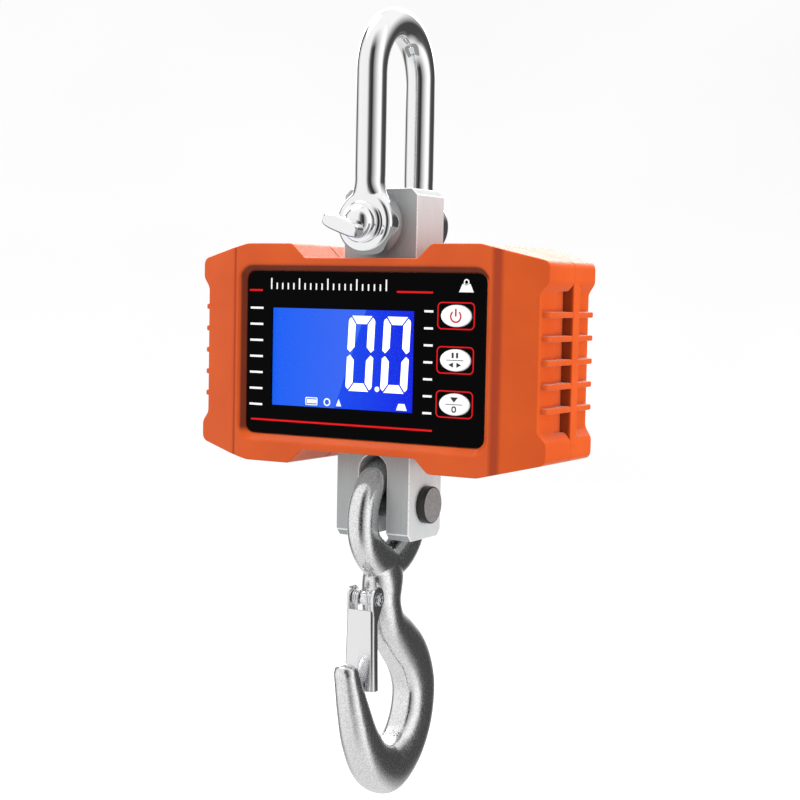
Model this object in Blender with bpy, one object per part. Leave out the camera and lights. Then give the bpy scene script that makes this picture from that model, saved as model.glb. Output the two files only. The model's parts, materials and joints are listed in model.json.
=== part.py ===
"""Hanging crane scale: a D-shackle, a load cell through a two-part cast case, and an eye hook with a latch.

The scene is in metres, +Z up. The origin is the inside of the shackle's crown, where the scale hangs from
a crane. X runs to the right across the display, -Y is the side that the display faces.
Sizes below are in millimetres; every mesh is scaled by MM as it is made. Each family of pieces is built in
the frame of its own reference point (pin axis, case centre, hook-pin axis, latch axis).
"""

import math

import bmesh
import bpy
from mathutils import Matrix, Vector

MM = 0.001

# Reference points on the hanging line, as heights below the hang point
SHACKLE_PIN_DROP = 69.3
CASE_DROP = 118.8
HOOK_PIN_DROP = 175.1
LATCH_AXIS = (-16.0, -35.3)  # y and z from the hook pin's axis

CLEARANCE = 0.3  # gap kept between pieces that touch

# Shackle
BOW_ROD_R = 5.7
BOW_LEG_Y = 18.1
BOW_CROWN_R = 6.1  # the rod is a little stouter over the crown
BOW_CROWN_RISE = 20.0  # height of the centreline's half ellipse
EYE_R = 11.9
EYE_INNER_Y = 12.5
EYE_OUTER_Y = 23.2
SHACKLE_PIN_R = 6.0
PIN_COLLAR_R = 7.6
PIN_TAB_WIDTH = 15.6
PIN_TAB_THICKNESS = 5.5
PIN_TAB_END_Y = 39.2
PIN_TAB_DROP = 1.8
PIN_TAB_TILT = math.radians(20)

# Load cell: one block, slimmer at the top to pass between the shackle's eyes
CELL_HALF_X = 15.9
CELL_TOP_HALF_Y = 10.2
CELL_FORK_HALF_Y = 12.4
CELL_TOP_Z = 62.7
CELL_BOTTOM_Z = -69.5
CELL_STEP_Z = 30.0
CELL_CHAMFER = 2.5
FORK_SLOT_HALF_X = 6.15
FORK_SLOT_TOP_Z = -37.3
GAUGE_POCKET_R = 9.0
GAUGE_POCKET_DEPTH = 4.0

# Case, about its own centre
CASE_FRONT_Y = -24.8
CASE_REAR_Y = 30.0
CASE_HALF_X = 75.0
CREASE_X = 56.2
BEVEL_FRONT_Y = -19.6
BEVEL_REAR_Y = 19.8
GROOVE_HALF_X = 1.8
GROOVE_DEPTH = 0.35
CASE_HALF_Z = 41.7
SHOULDER_X = 50.2
SHOULDER_Z = 35.7
WAIST_X = 71.8
WAIST_Z = 24.5
LUMP_Z = 28.3
POCKET_HALF_Z = 25.5
CHANNEL_FLOOR_Z = 36.3
CHANNEL_FLOOR_X = 24.5
CHANNEL_TOP_X = 30.3
PARTING_Y = 1.25
WALL = 2.6
FIN_REAR_Y = 6.6
CAVITY_HALF_X = 67.8
FIN_BASE_X = 70.6
POCKET_FRONT_Y = -7.2
RIB_PITCH = 8.5
RIB_THICKNESS = 2.1
RIBS_A_SIDE = 5
RIB_FRONT_Y = -18.9
RIB_REAR_Y = 20.2
RIB_TIP_R = 1.9

# Display side
PANEL_HALF_X = 51.6
PANEL_HALF_Z = 31.0
PANEL_CORNER_R = 3.5
PANEL_RIM = 1.9
PANEL_FRONT_Y = -22.4
PANEL_THICKNESS = 1.2
WINDOW_X = (-40.5, 22.3)
WINDOW_Z = (-20.0, 17.2)
BUTTON_X = 39.7
BUTTON_PITCH = 15.9
BUTTON_HALF_X = 6.2
BUTTON_HALF_Z = 3.95
BUTTON_PROUD = 0.4
BUTTON_TRAVEL = 0.5

# Fasteners and the rear
CASE_SCREW_X = 44.0
CASE_SCREW_Z = 35.0
CASE_SCREW_R = 1.75
CASE_SCREW_HEAD_R = 3.2
BOSS_R = 4.4
BATTERY_COVER_X = (-54.0, -20.0)
BATTERY_COVER_HALF_Z = 29.0
SOCKET_X = 38.0
SOCKET_R = 4.2
SOCKET_BORE_R = 3.1
SOCKET_FLANGE_R = 5.6
SOCKET_RECESS = 1.4

# Hook
HOOK_PIN_R = 6.0
HOOK_PIN_HEAD_R = 7.1
HOOK_PIN_HEAD_LENGTH = 3.5
EYE_HOLE_R = 12.0
EYE_CENTRE = (-0.5, HOOK_PIN_R + CLEARANCE - EYE_HOLE_R)  # y and z from the hook pin's axis
EYE_HALF_X = 5.4
EYE_TOP_HALF_DEPTH = 5.6
EYE_SIDE_HALF_DEPTH = 6.5
EYE_VEE = math.radians(57)
RIVET_R = 1.6
LATCH_HALF_X = 5.9
LATCH_TIP_HALF_X = 6.7
LATCH_SHEET = 1.0
LATCH_LENGTH = 34.5
LATCH_EAR_R = 2.9

# Hook centreline from the eye's lower end to the tip:
# (y, z, half depth in the hook's plane, half thickness across it)
HOOK_STATIONS = (
    (-2.0, -22.5, 8.0, 4.8),
    (-3.0, -27.5, 10.4, 5.9),
    (-4.0, -32.5, 9.4, 6.9),
    (-4.4, -37.5, 8.3, 7.3),
    (-3.0, -43.0, 7.8, 7.5),
    (0.6, -48.6, 8.2, 7.4),
    (8.2, -55.2, 9.2, 7.2),
    (16.0, -62.8, 9.8, 7.2),
    (20.8, -71.5, 10.0, 7.2),
    (22.1, -79.5, 10.1, 7.2),
    (19.6, -90.0, 10.2, 7.3),
    (12.5, -99.4, 10.3, 7.4),
    (1.6, -104.5, 10.2, 7.4),
    (-9.6, -99.9, 9.2, 7.1),
    (-18.0, -89.3, 7.6, 6.6),
    (-23.4, -77.0, 6.1, 5.8),
    (-27.0, -66.8, 4.9, 5.0),
    (-29.3, -60.4, 4.0, 4.5),
)

COLOURS = {
    "polished_steel": ((0.80, 0.81, 0.83), 0.08, 1.0),
    "cell_aluminium": ((0.72, 0.73, 0.74), 0.35, 1.0),
    "orange_coat": ((0.72, 0.11, 0.02), 0.45, 0.0),
    "panel_black": ((0.01, 0.01, 0.012), 0.12, 0.0),
    "window_clear": ((0.75, 0.85, 0.95), 0.05, 0.0),
    "lcd_blue": ((0.02, 0.14, 0.90), 0.20, 0.0),
    "button_white": ((0.85, 0.85, 0.85), 0.35, 0.0),
    "board_green": ((0.02, 0.16, 0.06), 0.50, 0.0),
    "black_plastic": ((0.02, 0.02, 0.02), 0.45, 0.0),
    "seal_rubber": ((0.03, 0.03, 0.03), 0.80, 0.0),
    "screw_steel": ((0.55, 0.56, 0.58), 0.30, 1.0),
    "forged_zinc": ((0.55, 0.56, 0.57), 0.38, 1.0),
    "latch_zinc": ((0.70, 0.71, 0.72), 0.25, 1.0),
    "black_oxide": ((0.03, 0.03, 0.03), 0.30, 1.0),
    "pack_blue": ((0.03, 0.10, 0.35), 0.40, 0.0),
}


# ---------------------------------------------------------------- helpers


def material(name):
    """The material of that name, made on first use with a Principled BSDF."""
    found = bpy.data.materials.get(name)
    if found:
        return found
    made = bpy.data.materials.new(name)
    made.use_nodes = True
    colour, roughness, metallic = COLOURS[name]
    shader = made.node_tree.nodes["Principled BSDF"]
    shader.inputs["Base Color"].default_value = (*colour, 1.0)
    shader.inputs["Roughness"].default_value = roughness
    shader.inputs["Metallic"].default_value = metallic
    made.diffuse_color = (*colour, 1.0)
    return made


def empty(name, parent, location):
    """An empty at a place given in millimetres from its parent."""
    made = bpy.data.objects.new(name, None)
    bpy.context.scene.collection.objects.link(made)
    made.parent = parent
    made.location = Vector(location) * MM
    return made


def solid(name, mesh, slot, parent, location=(0, 0, 0)):
    """A named object from a bmesh in millimetres, with its material, under its reference point."""
    bmesh.ops.recalc_face_normals(mesh, faces=mesh.faces)
    bmesh.ops.scale(mesh, vec=(MM, MM, MM), verts=mesh.verts)
    data = bpy.data.meshes.new(name)
    mesh.to_mesh(data)
    mesh.free()
    made = bpy.data.objects.new(name, data)
    bpy.context.scene.collection.objects.link(made)
    made.parent = parent
    made.location = Vector(location) * MM
    if slot:
        data.materials.append(material(slot))
        data.shade_smooth()
        data.set_sharp_from_angle(angle=math.radians(35))
    return made


def boolean(target, operation, mesh, label):
    """Cuts a bmesh from the target or joins it on, with a hidden helper object under the same parent."""
    helper = solid(f"helper.{target.name}.{label}", mesh, None, target.parent, target.location / MM)
    helper.hide_render = True
    helper.display_type = "WIRE"
    modifier = target.modifiers.new(label, "BOOLEAN")
    modifier.operation = operation
    modifier.solver = "EXACT"
    modifier.object = helper


def cut(target, mesh, label):
    boolean(target, "DIFFERENCE", mesh, label)


def join(target, mesh, label):
    boolean(target, "UNION", mesh, label)


def keep(target, mesh, label):
    boolean(target, "INTERSECT", mesh, label)


def place(axis, u, v, along):
    """The point at u, v in the plane across an axis, at a distance along it."""
    if axis == "X":
        return Vector((along, u, v))
    if axis == "Y":
        return Vector((u, along, v))
    return Vector((u, v, along))


def loft(rings, closed=False):
    """A body through rings of equal length, with flat ends or with its last ring joined to its first."""
    mesh = bmesh.new()
    rows = [[mesh.verts.new(point) for point in ring] for ring in rings]
    count = len(rows[0])
    for row, following in zip(rows, rows[1:] + rows[:1] if closed else rows[1:]):
        for i in range(count):
            j = (i + 1) % count
            mesh.faces.new((row[i], row[j], following[j], following[i]))
    if not closed:
        mesh.faces.new(rows[0][::-1])
        mesh.faces.new(rows[-1])
    return mesh


def prism(outline, axis, start, end):
    """An outline pushed along an axis from start to end."""
    return loft([[place(axis, u, v, along) for u, v in outline] for along in (start, end)])


def box(x, y, z):
    """A box from its (low, high) pair along each axis."""
    return prism([(x[0], y[0]), (x[1], y[0]), (x[1], y[1]), (x[0], y[1])], "Z", *z)


def turned(profile, axis, centre=(0, 0), sides=24, closed=False):
    """A body of revolution from (distance along the axis, radius) points."""
    rings = []
    for along, radius in profile:
        angles = [2 * math.pi * i / sides for i in range(sides)]
        ring = [(centre[0] + radius * math.cos(a), centre[1] + radius * math.sin(a)) for a in angles]
        rings.append([place(axis, u, v, along) for u, v in ring])
    return loft(rings, closed)


def rod(axis, radius, start, end, centre=(0, 0), sides=24):
    return turned([(start, radius), (end, radius)], axis, centre, sides)


def ring_body(axis, inner, outer, start, end, centre=(0, 0), sides=24):
    """A washer: a turned outline that closes on itself."""
    profile = ((start, inner), (start, outer), (end, outer), (end, inner))
    return turned(profile, axis, centre, sides, closed=True)


def superellipse(half_u, half_v, power, count):
    """Points round an outline that is an ellipse at power 2 and squarer above it."""
    points = []
    for i in range(count):
        a = 2 * math.pi * i / count
        c, s = math.cos(a), math.sin(a)
        u = math.copysign(abs(c) ** (2 / power), c) * half_u
        v = math.copysign(abs(s) ** (2 / power), s) * half_v
        points.append((u, v))
    return points


def rounded_rectangle(x, z, radius, steps=4):
    """The outline of a rectangle between (low, high) pairs, with round corners."""
    points = []
    corners = ((x[1], z[1], 0), (x[0], z[1], 90), (x[0], z[0], 180), (x[1], z[0], 270))
    for cx, cz, start in corners:
        mx = cx - math.copysign(radius, cx - sum(x) / 2)
        mz = cz - math.copysign(radius, cz - sum(z) / 2)
        for i in range(steps + 1):
            a = math.radians(start + 90 * i / steps)
            points.append((mx + radius * math.cos(a), mz + radius * math.sin(a)))
    return points


def ellipse(half_u, half_v, centre=(0, 0), count=24):
    return [(centre[0] + u, centre[1] + v) for u, v in superellipse(half_u, half_v, 2, count)]


def filleted(corners, steps=4):
    """An outline through (u, v, radius) corners, each rounded by an arc unless its radius is 0."""
    points = []
    for i, (u, v, radius) in enumerate(corners):
        here = Vector((u, v))
        if radius == 0:
            points.append((u, v))
            continue
        back = (Vector(corners[i - 1][:2]) - here).normalized()
        ahead = (Vector(corners[i + 1][:2]) - here).normalized()
        half = back.angle(ahead) / 2
        centre = here + (back + ahead).normalized() * radius / math.sin(half)
        reach = radius / math.tan(half)
        start = (here + back * reach - centre).normalized()
        end = (here + ahead * reach - centre).normalized()
        for k in range(steps + 1):
            points.append(tuple(centre + start.slerp(end, k / steps) * radius))
    return points


def mirrored(half):
    """A closed outline from its right half, which starts and ends on the middle line."""
    left = [(-u, v) for u, v in reversed(half) if abs(u) > 1e-9]
    return half + left


def catmull_rom(stations, steps):
    """Stations of any length, with steps smooth points in each span."""
    padded = [stations[0], *stations, stations[-1]]
    smooth = []
    for a, b, c, d in zip(padded, padded[1:], padded[2:], padded[3:]):
        for i in range(steps):
            t = i / steps
            point = []
            for p, q, r, s in zip(a, b, c, d):
                bend = (2 * p - 5 * q + 4 * r - s) * t * t + (3 * q - p - 3 * r + s) * t**3
                point.append(q + ((r - p) * t + bend) / 2)
            smooth.append(tuple(point))
    smooth.append(stations[-1])
    return smooth


def swept(stations, sides, power=2.0):
    """A body along stations (y, z, half depth, half thickness) in the Y-Z plane."""
    rings = []
    for i, (y, z, depth, thickness) in enumerate(stations):
        before = stations[max(i - 1, 0)]
        after = stations[min(i + 1, len(stations) - 1)]
        along = Vector((0, after[0] - before[0], after[1] - before[1])).normalized()
        across = Vector((0, along.z, -along.y))
        section = superellipse(thickness, depth, power, sides)
        rings.append([Vector((u, y, z)) + across * v for u, v in section])
    return loft(rings)


# ---------------------------------------------------------------- shackle


def bow_stations():
    """The bow's centreline in the frame of its pin, from the front eye over the crown to the rear eye."""
    crown_z = SHACKLE_PIN_DROP + BOW_CROWN_R - BOW_CROWN_RISE
    flare = ((0.0, 10.6), (6.0, 10.0), (8.5, 8.5), (11.0, 6.8), (14.5, BOW_ROD_R))
    front = [(-BOW_LEG_Y, z, 5.4 if z < 10 else BOW_ROD_R, width) for z, width in flare]
    crown = []
    for i in range(13):
        a = math.pi * i / 12
        radius = BOW_ROD_R + (BOW_CROWN_R - BOW_ROD_R) * math.sin(a)
        crown.append((-BOW_LEG_Y * math.cos(a), crown_z + BOW_CROWN_RISE * math.sin(a), radius, radius))
    rear = [(-y, z, depth, width) for y, z, depth, width in reversed(front)]
    return front + crown + rear


def build_shackle(home):
    bow = solid("shackle_bow", swept(bow_stations(), 16), "polished_steel", home)
    for side in (-1, 1):
        low, high = sorted((side * EYE_INNER_Y, side * EYE_OUTER_Y))
        rim = 1.6
        profile = [(low, EYE_R - rim), (low + rim, EYE_R), (high - rim, EYE_R), (high, EYE_R - rim)]
        join(bow, turned(profile, "Y", sides=28), f"eye{side}")
    cut(bow, rod("Y", SHACKLE_PIN_R + CLEARANCE, -30, 30), "pin_hole")


def build_shackle_pin(home):
    collar_back = EYE_OUTER_Y + CLEARANCE
    profile = [
        (25.6, SHACKLE_PIN_R - 1.0),
        (24.6, SHACKLE_PIN_R),
        (-collar_back, SHACKLE_PIN_R),
        (-collar_back, PIN_COLLAR_R),
        (-collar_back - 2.0, PIN_COLLAR_R),
        (-collar_back - 2.8, PIN_COLLAR_R - 1.0),
        (-collar_back - 2.8, 5.2),
        (-collar_back - 5.0, 4.6),
        (-collar_back - 8.0, 3.0),
    ]
    pin = solid("shackle_pin", turned(profile, "Y"), "polished_steel", home)
    half_w, half_t = PIN_TAB_WIDTH / 2, PIN_TAB_THICKNESS / 2
    shape = (
        (27.5, 0.55, 0.9, 2.2),
        (31.0, 0.62, 1.0, 2.4),
        (34.5, 0.95, 1.0, 3.0),
        (37.5, 1.0, 1.0, 3.4),
        (PIN_TAB_END_Y - 0.9, 1.0, 1.0, 3.4),
        (PIN_TAB_END_Y, 0.9, 0.75, 3.0),
    )
    turn = Matrix.Rotation(PIN_TAB_TILT, 3, "Y")
    rings = []
    for y, width, thickness, power in shape:
        section = superellipse(half_w * width, half_t * thickness, power, 20)
        drop = Vector((0, 0, -PIN_TAB_DROP))
        rings.append([turn @ Vector((u, -y, v)) + drop for u, v in section])
    join(pin, loft(rings), "tab")


# ---------------------------------------------------------------- load cell


def build_load_cell(home):
    c = CELL_CHAMFER
    x = CELL_HALF_X
    whole = [
        (x, CELL_BOTTOM_Z),
        (x, CELL_TOP_Z - c),
        (x - c, CELL_TOP_Z),
        (c - x, CELL_TOP_Z),
        (-x, CELL_TOP_Z - c),
        (-x, CELL_BOTTOM_Z),
    ]
    cell = solid("load_cell", prism(whole, "Y", -CELL_FORK_HALF_Y, CELL_FORK_HALF_Y), "cell_aluminium", home)
    above = (CELL_STEP_Z, CELL_TOP_Z + 5)
    for side in (-1, 1):
        y = sorted((side * CELL_TOP_HALF_Y, side * (CELL_FORK_HALF_Y + 5)))
        cut(cell, box((-x - 5, x + 5), y, above), f"neck{side}")
    for side in (-1, 1):
        y, z = side * CELL_FORK_HALF_Y, CELL_BOTTOM_Z
        wedge = [(y - side * c, z), (y - side * (c + 2), z - 2), (y + side * 2, z - 2), (y + side * 2, z + c + 2), (y, z + c)]
        cut(cell, prism(wedge, "X", -x - 5, x + 5), f"foot{side}")
    slot = [(-FORK_SLOT_HALF_X, CELL_BOTTOM_Z - 5), (FORK_SLOT_HALF_X, CELL_BOTTOM_Z - 5)]
    arch_z = FORK_SLOT_TOP_Z - FORK_SLOT_HALF_X
    for i in range(9):
        a = math.pi * i / 8
        slot.append((FORK_SLOT_HALF_X * math.cos(a), arch_z + FORK_SLOT_HALF_X * math.sin(a)))
    cut(cell, prism(slot, "Y", -20, 20), "slot")
    shackle_pin_z = CASE_DROP - SHACKLE_PIN_DROP
    cut(cell, rod("Y", SHACKLE_PIN_R + CLEARANCE, -20, 20, (0, shackle_pin_z)), "top_hole")
    hook_pin_z = CASE_DROP - HOOK_PIN_DROP
    cut(cell, rod("X", HOOK_PIN_R + CLEARANCE, -20, 20, (0, hook_pin_z)), "bottom_hole")
    for side in (-1, 1):
        floor = side * (CELL_FORK_HALF_Y - GAUGE_POCKET_DEPTH)
        ends = sorted((floor, side * 20))
        cut(cell, rod("Y", GAUGE_POCKET_R, *ends), f"gauge_pocket{side}")
    for side, word in ((-1, "front"), (1, "rear")):
        low = side * (CELL_FORK_HALF_Y - GAUGE_POCKET_DEPTH + CLEARANCE)
        ends = sorted((low, side * (CELL_FORK_HALF_Y - 0.5)))
        cover = rod("Y", GAUGE_POCKET_R - CLEARANCE, *ends)
        solid(f"strain_gauge_{word}", cover, "seal_rubber", home)


# ---------------------------------------------------------------- case shells


def case_outline():
    """The case seen from the front, right half first."""
    upper = filleted(
        [
            (0, CHANNEL_FLOOR_Z, 0),
            (CHANNEL_FLOOR_X, CHANNEL_FLOOR_Z, 2.0),
            (CHANNEL_TOP_X, CASE_HALF_Z, 3.0),
            (SHOULDER_X, CASE_HALF_Z, 9.0),
            (CASE_HALF_X, SHOULDER_Z, 3.0),
            (CASE_HALF_X, LUMP_Z, 3.0),
            (WAIST_X, WAIST_Z, 3.5),
            (WAIST_X, 0, 0),
        ]
    )
    lower = [(x, -z) for x, z in reversed(upper)]
    return mirrored(upper + lower)


def plan_outline(front, rear, half_x=CASE_HALF_X + 5):
    """The case from above: flat faces with a bevel at each side, and a soft groove on each front crease."""
    slope_front = (BEVEL_FRONT_Y - CASE_FRONT_Y) / (CASE_HALF_X - CREASE_X)
    slope_rear = (CASE_REAR_Y - BEVEL_REAR_Y) / (CASE_HALF_X - CREASE_X)
    reach = half_x - CREASE_X
    half = []
    for i in range(9):
        offset = GROOVE_HALF_X * (i / 4 - 1)
        sunk = GROOVE_DEPTH * (1 + math.cos(math.pi * (i / 4 - 1))) / 2
        half.append((CREASE_X + offset, front + max(offset, 0) * slope_front + sunk))
    half += [
        (half_x, front + reach * slope_front),
        (half_x, rear - reach * slope_rear),
        (CREASE_X, rear),
    ]
    return mirrored(half)


def cavity_outline(grow=0.0):
    """The inside of the case seen from the front."""
    g = grow
    upper = [
        (0, CHANNEL_FLOOR_Z - WALL + g),
        (CHANNEL_FLOOR_X + 1.5 - g, CHANNEL_FLOOR_Z - WALL + g),
        (CHANNEL_TOP_X + 1.3 - g, CASE_HALF_Z - WALL + g),
        (SHOULDER_X - 0.4, CASE_HALF_Z - WALL + g),
        (CAVITY_HALF_X + g, SHOULDER_Z - 1.4 + g),
    ]
    lower = [(x, -z) for x, z in reversed(upper)]
    return mirrored(upper + lower)


def screw_places():
    return [(x, z) for x in (-CASE_SCREW_X, CASE_SCREW_X) for z in (-CASE_SCREW_Z, CASE_SCREW_Z)]


def add_ribs(shell, near, far):
    """The horizontal ribs of one shell on both sides, from the parting line to their free, rounded ends."""
    top = CASE_HALF_X - 0.2
    ahead = 1 if far > near else -1
    for side in (-1, 1):
        for i in range(RIBS_A_SIDE):
            z = (i - (RIBS_A_SIDE - 1) / 2) * RIB_PITCH
            outline = [(side * (FIN_BASE_X - 1), near), (side * top, near)]
            for degrees in (0, 22.5, 45, 67.5, 90):
                a = math.radians(degrees)
                x = top - RIB_TIP_R * (1 - math.cos(a))
                outline.append((side * x, far - ahead * RIB_TIP_R * (1 - math.sin(a))))
            outline.append((side * (FIN_BASE_X - 1), far))
            half = RIB_THICKNESS / 2
            join(shell, prism(outline, "Z", z - half, z + half), f"rib{side}_{i}")


def build_front_shell(home):
    edge = PARTING_Y - CLEARANCE / 2
    shell = solid("front_shell", prism(case_outline(), "Y", CASE_FRONT_Y - 5, edge), "orange_coat", home)
    keep(shell, prism(plan_outline(CASE_FRONT_Y, CASE_REAR_Y), "Z", -60, 60), "bevels")
    cavity_front = PANEL_FRONT_Y + PANEL_THICKNESS + CLEARANCE + 2.0
    for side in (-1, 1):
        deep = sorted((side * FIN_BASE_X, side * (CASE_HALF_X + 5)))
        pocket = (POCKET_FRONT_Y, edge + 5)
        cut(shell, box(deep, pocket, (-POCKET_HALF_Z, POCKET_HALF_Z)), f"pocket{side}")
    cut(shell, prism(cavity_outline(), "Y", cavity_front, edge + 5), "cavity")
    add_ribs(shell, edge, RIB_FRONT_Y)
    for i, (x, z) in enumerate(screw_places()):
        join(shell, rod("Y", BOSS_R, cavity_front - 1, edge, (x, z), 16), f"boss{i}")
        cut(shell, rod("Y", CASE_SCREW_R + CLEARANCE, -14.0, edge + 5, (x, z), 16), f"thread{i}")
    panel = rounded_rectangle(
        (-PANEL_HALF_X - CLEARANCE, PANEL_HALF_X + CLEARANCE),
        (-PANEL_HALF_Z - CLEARANCE, PANEL_HALF_Z + CLEARANCE),
        PANEL_CORNER_R,
    )
    seat = PANEL_FRONT_Y + PANEL_THICKNESS + CLEARANCE
    cut(shell, prism(panel, "Y", CASE_FRONT_Y - 5, seat), "panel_recess")
    rim = []
    slope = ((PANEL_FRONT_Y - 0.3, 0), (CASE_FRONT_Y + 0.35, PANEL_RIM), (CASE_FRONT_Y - 1, PANEL_RIM + 0.9))
    for y, grow in slope:
        half_x, half_z = (half + CLEARANCE + grow for half in (PANEL_HALF_X, PANEL_HALF_Z))
        outline = rounded_rectangle((-half_x, half_x), (-half_z, half_z), PANEL_CORNER_R + grow)
        rim.append([place("Y", x, z, y) for x, z in outline])
    cut(shell, loft(rim), "panel_rim")
    window = (WINDOW_X[0] - 1.0, WINDOW_X[1] + 1.0), (WINDOW_Z[0] - 1.0, WINDOW_Z[1] + 1.0)
    cut(shell, box(window[0], (-30, cavity_front + 2), window[1]), "window")
    for i in (-1, 0, 1):
        hole = ellipse(BUTTON_HALF_X + 0.5, BUTTON_HALF_Z + 0.5, (BUTTON_X, i * BUTTON_PITCH))
        cut(shell, prism(hole, "Y", -30, cavity_front + 2), f"button_hole{i}")
    cut_cell_passage(shell)
    rebate = (edge - 1.0, edge + 5)
    cut(shell, prism(cavity_outline(1.3), "Y", *rebate), "gasket_rebate")


def cut_cell_passage(shell):
    x = CELL_HALF_X + 0.4
    y = CELL_FORK_HALF_Y + 0.4
    cut(shell, box((-x, x), (-y, y), (-50, 50)), "cell_passage")


def build_rear_shell(home):
    edge = PARTING_Y + CLEARANCE / 2
    shell = solid("rear_shell", prism(case_outline(), "Y", edge, CASE_REAR_Y + 5), "orange_coat", home)
    keep(shell, prism(plan_outline(CASE_FRONT_Y, CASE_REAR_Y), "Z", -60, 60), "bevels")
    inside = plan_outline(CASE_FRONT_Y, CASE_REAR_Y - WALL - 0.4)
    room = solid("helper.rear_room", prism(cavity_outline(), "Y", edge - 5, CASE_REAR_Y), None, home)
    room.hide_render = True
    room.display_type = "WIRE"
    keep(room, prism(inside, "Z", -60, 60), "bevels")
    hollow = shell.modifiers.new("cavity", "BOOLEAN")
    hollow.operation = "DIFFERENCE"
    hollow.solver = "EXACT"
    hollow.object = room
    for side in (-1, 1):
        x = sorted((side * (FIN_BASE_X - 1), side * (CASE_HALF_X - 0.2)))
        join(shell, box(x, (edge, FIN_REAR_Y), (-LUMP_Z - 3, LUMP_Z + 3)), f"fin{side}")
    add_ribs(shell, FIN_REAR_Y - 0.5, RIB_REAR_Y)
    for i, (x, z) in enumerate(screw_places()):
        join(shell, rod("Y", BOSS_R, edge, CASE_REAR_Y - 1, (x, z), 16), f"boss{i}")
        hole = rod("Y", CASE_SCREW_R + CLEARANCE, edge - 5, CASE_REAR_Y + 5, (x, z), 16)
        cut(shell, hole, f"screw_hole{i}")
        seat = CASE_REAR_Y - 3.0
        cut(shell, rod("Y", CASE_SCREW_HEAD_R + 0.4, seat, CASE_REAR_Y + 5, (x, z), 20), f"counterbore{i}")
    cover_x = (BATTERY_COVER_X[0] - CLEARANCE, BATTERY_COVER_X[1] + CLEARANCE)
    cover_z = (-BATTERY_COVER_HALF_Z - CLEARANCE, BATTERY_COVER_HALF_Z + CLEARANCE)
    recess = rounded_rectangle(cover_x, cover_z, 3.0)
    cut(shell, prism(recess, "Y", CASE_REAR_Y - 2.0, CASE_REAR_Y + 5), "cover_recess")
    door = (BATTERY_COVER_X[0] + 3, BATTERY_COVER_X[1] - 3)
    cut(shell, box(door, (20, 40), (6 - BATTERY_COVER_HALF_Z, BATTERY_COVER_HALF_Z - 6)), "battery_door")
    for i, z in enumerate(cover_screw_heights()):
        x = sum(BATTERY_COVER_X) / 2
        cut(shell, rod("Y", 1.5, 20, 40, (x, z), 16), f"cover_screw{i}")
    cut(shell, rod("Y", SOCKET_R + CLEARANCE, 20, 40, (SOCKET_X, 0)), "socket_hole")
    flange_seat = (CASE_REAR_Y - SOCKET_RECESS, 40)
    cut(shell, rod("Y", SOCKET_FLANGE_R + CLEARANCE, *flange_seat, (SOCKET_X, 0)), "socket_recess")
    cut_cell_passage(shell)


def cover_screw_heights():
    return (3.0 - BATTERY_COVER_HALF_Z, BATTERY_COVER_HALF_Z - 3.0)


def build_gaskets(home):
    """Two C-shaped cords in the front shell's rebate, one each side of the load cell."""
    edge = PARTING_Y - CLEARANCE / 2
    outer, inner = cavity_outline(1.0), cavity_outline(0.3)
    for side, word in ((-1, "left"), (1, "right")):
        frame = solid(f"gasket_{word}", prism(outer, "Y", edge - 0.7, edge), "seal_rubber", home)
        cut(frame, prism(inner, "Y", edge - 5, edge + 5), "inside")
        half = sorted((side * (CELL_HALF_X + 1.5), side * 100))
        keep(frame, box(half, (-10, 10), (-60, 60)), "half")


def build_cell_seals(home):
    """Square foam frames round the load cell, under the channel floors."""
    for side, word in ((-1, "bottom"), (1, "top")):
        end = side * (CHANNEL_FLOOR_Z - WALL - CLEARANCE)
        z = sorted((end, end - side * 2.5))
        name = f"cell_seal_{word}"
        x, y = CELL_HALF_X + 3.0, CELL_FORK_HALF_Y + 1.0
        seal = solid(name, box((-x, x), (-y, y), z), "seal_rubber", home)
        x, y = CELL_HALF_X + CLEARANCE, CELL_FORK_HALF_Y + CLEARANCE
        cut(seal, box((-x, x), (-y, y), (-60, 60)), "inside")


def pan_screw(length, shaft_r, head_r, head_t):
    """A pan-head screw along Y: its head's underside at 0, its shaft towards -Y."""
    profile = [
        (-length, shaft_r * 0.6),
        (-length + 1.0, shaft_r),
        (0, shaft_r),
        (0, head_r),
        (head_t * 0.6, head_r),
        (head_t, head_r * 0.7),
    ]
    return turned(profile, "Y", sides=16)


def build_case_screws(home):
    for i, (x, z) in enumerate(screw_places(), 1):
        seat = CASE_REAR_Y - 3.0 + CLEARANCE
        mesh = pan_screw(38.0, CASE_SCREW_R, CASE_SCREW_HEAD_R, 2.2)
        screw = solid(f"case_screw_{i}", mesh, "screw_steel", home, (x, seat, z))
        cut(screw, hex_recess(1.3, 2.2), "hex")


def hex_recess(depth, head_t):
    return rod("Y", 1.4, head_t - depth, head_t + 5, sides=6)


# ---------------------------------------------------------------- display and electronics


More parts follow.
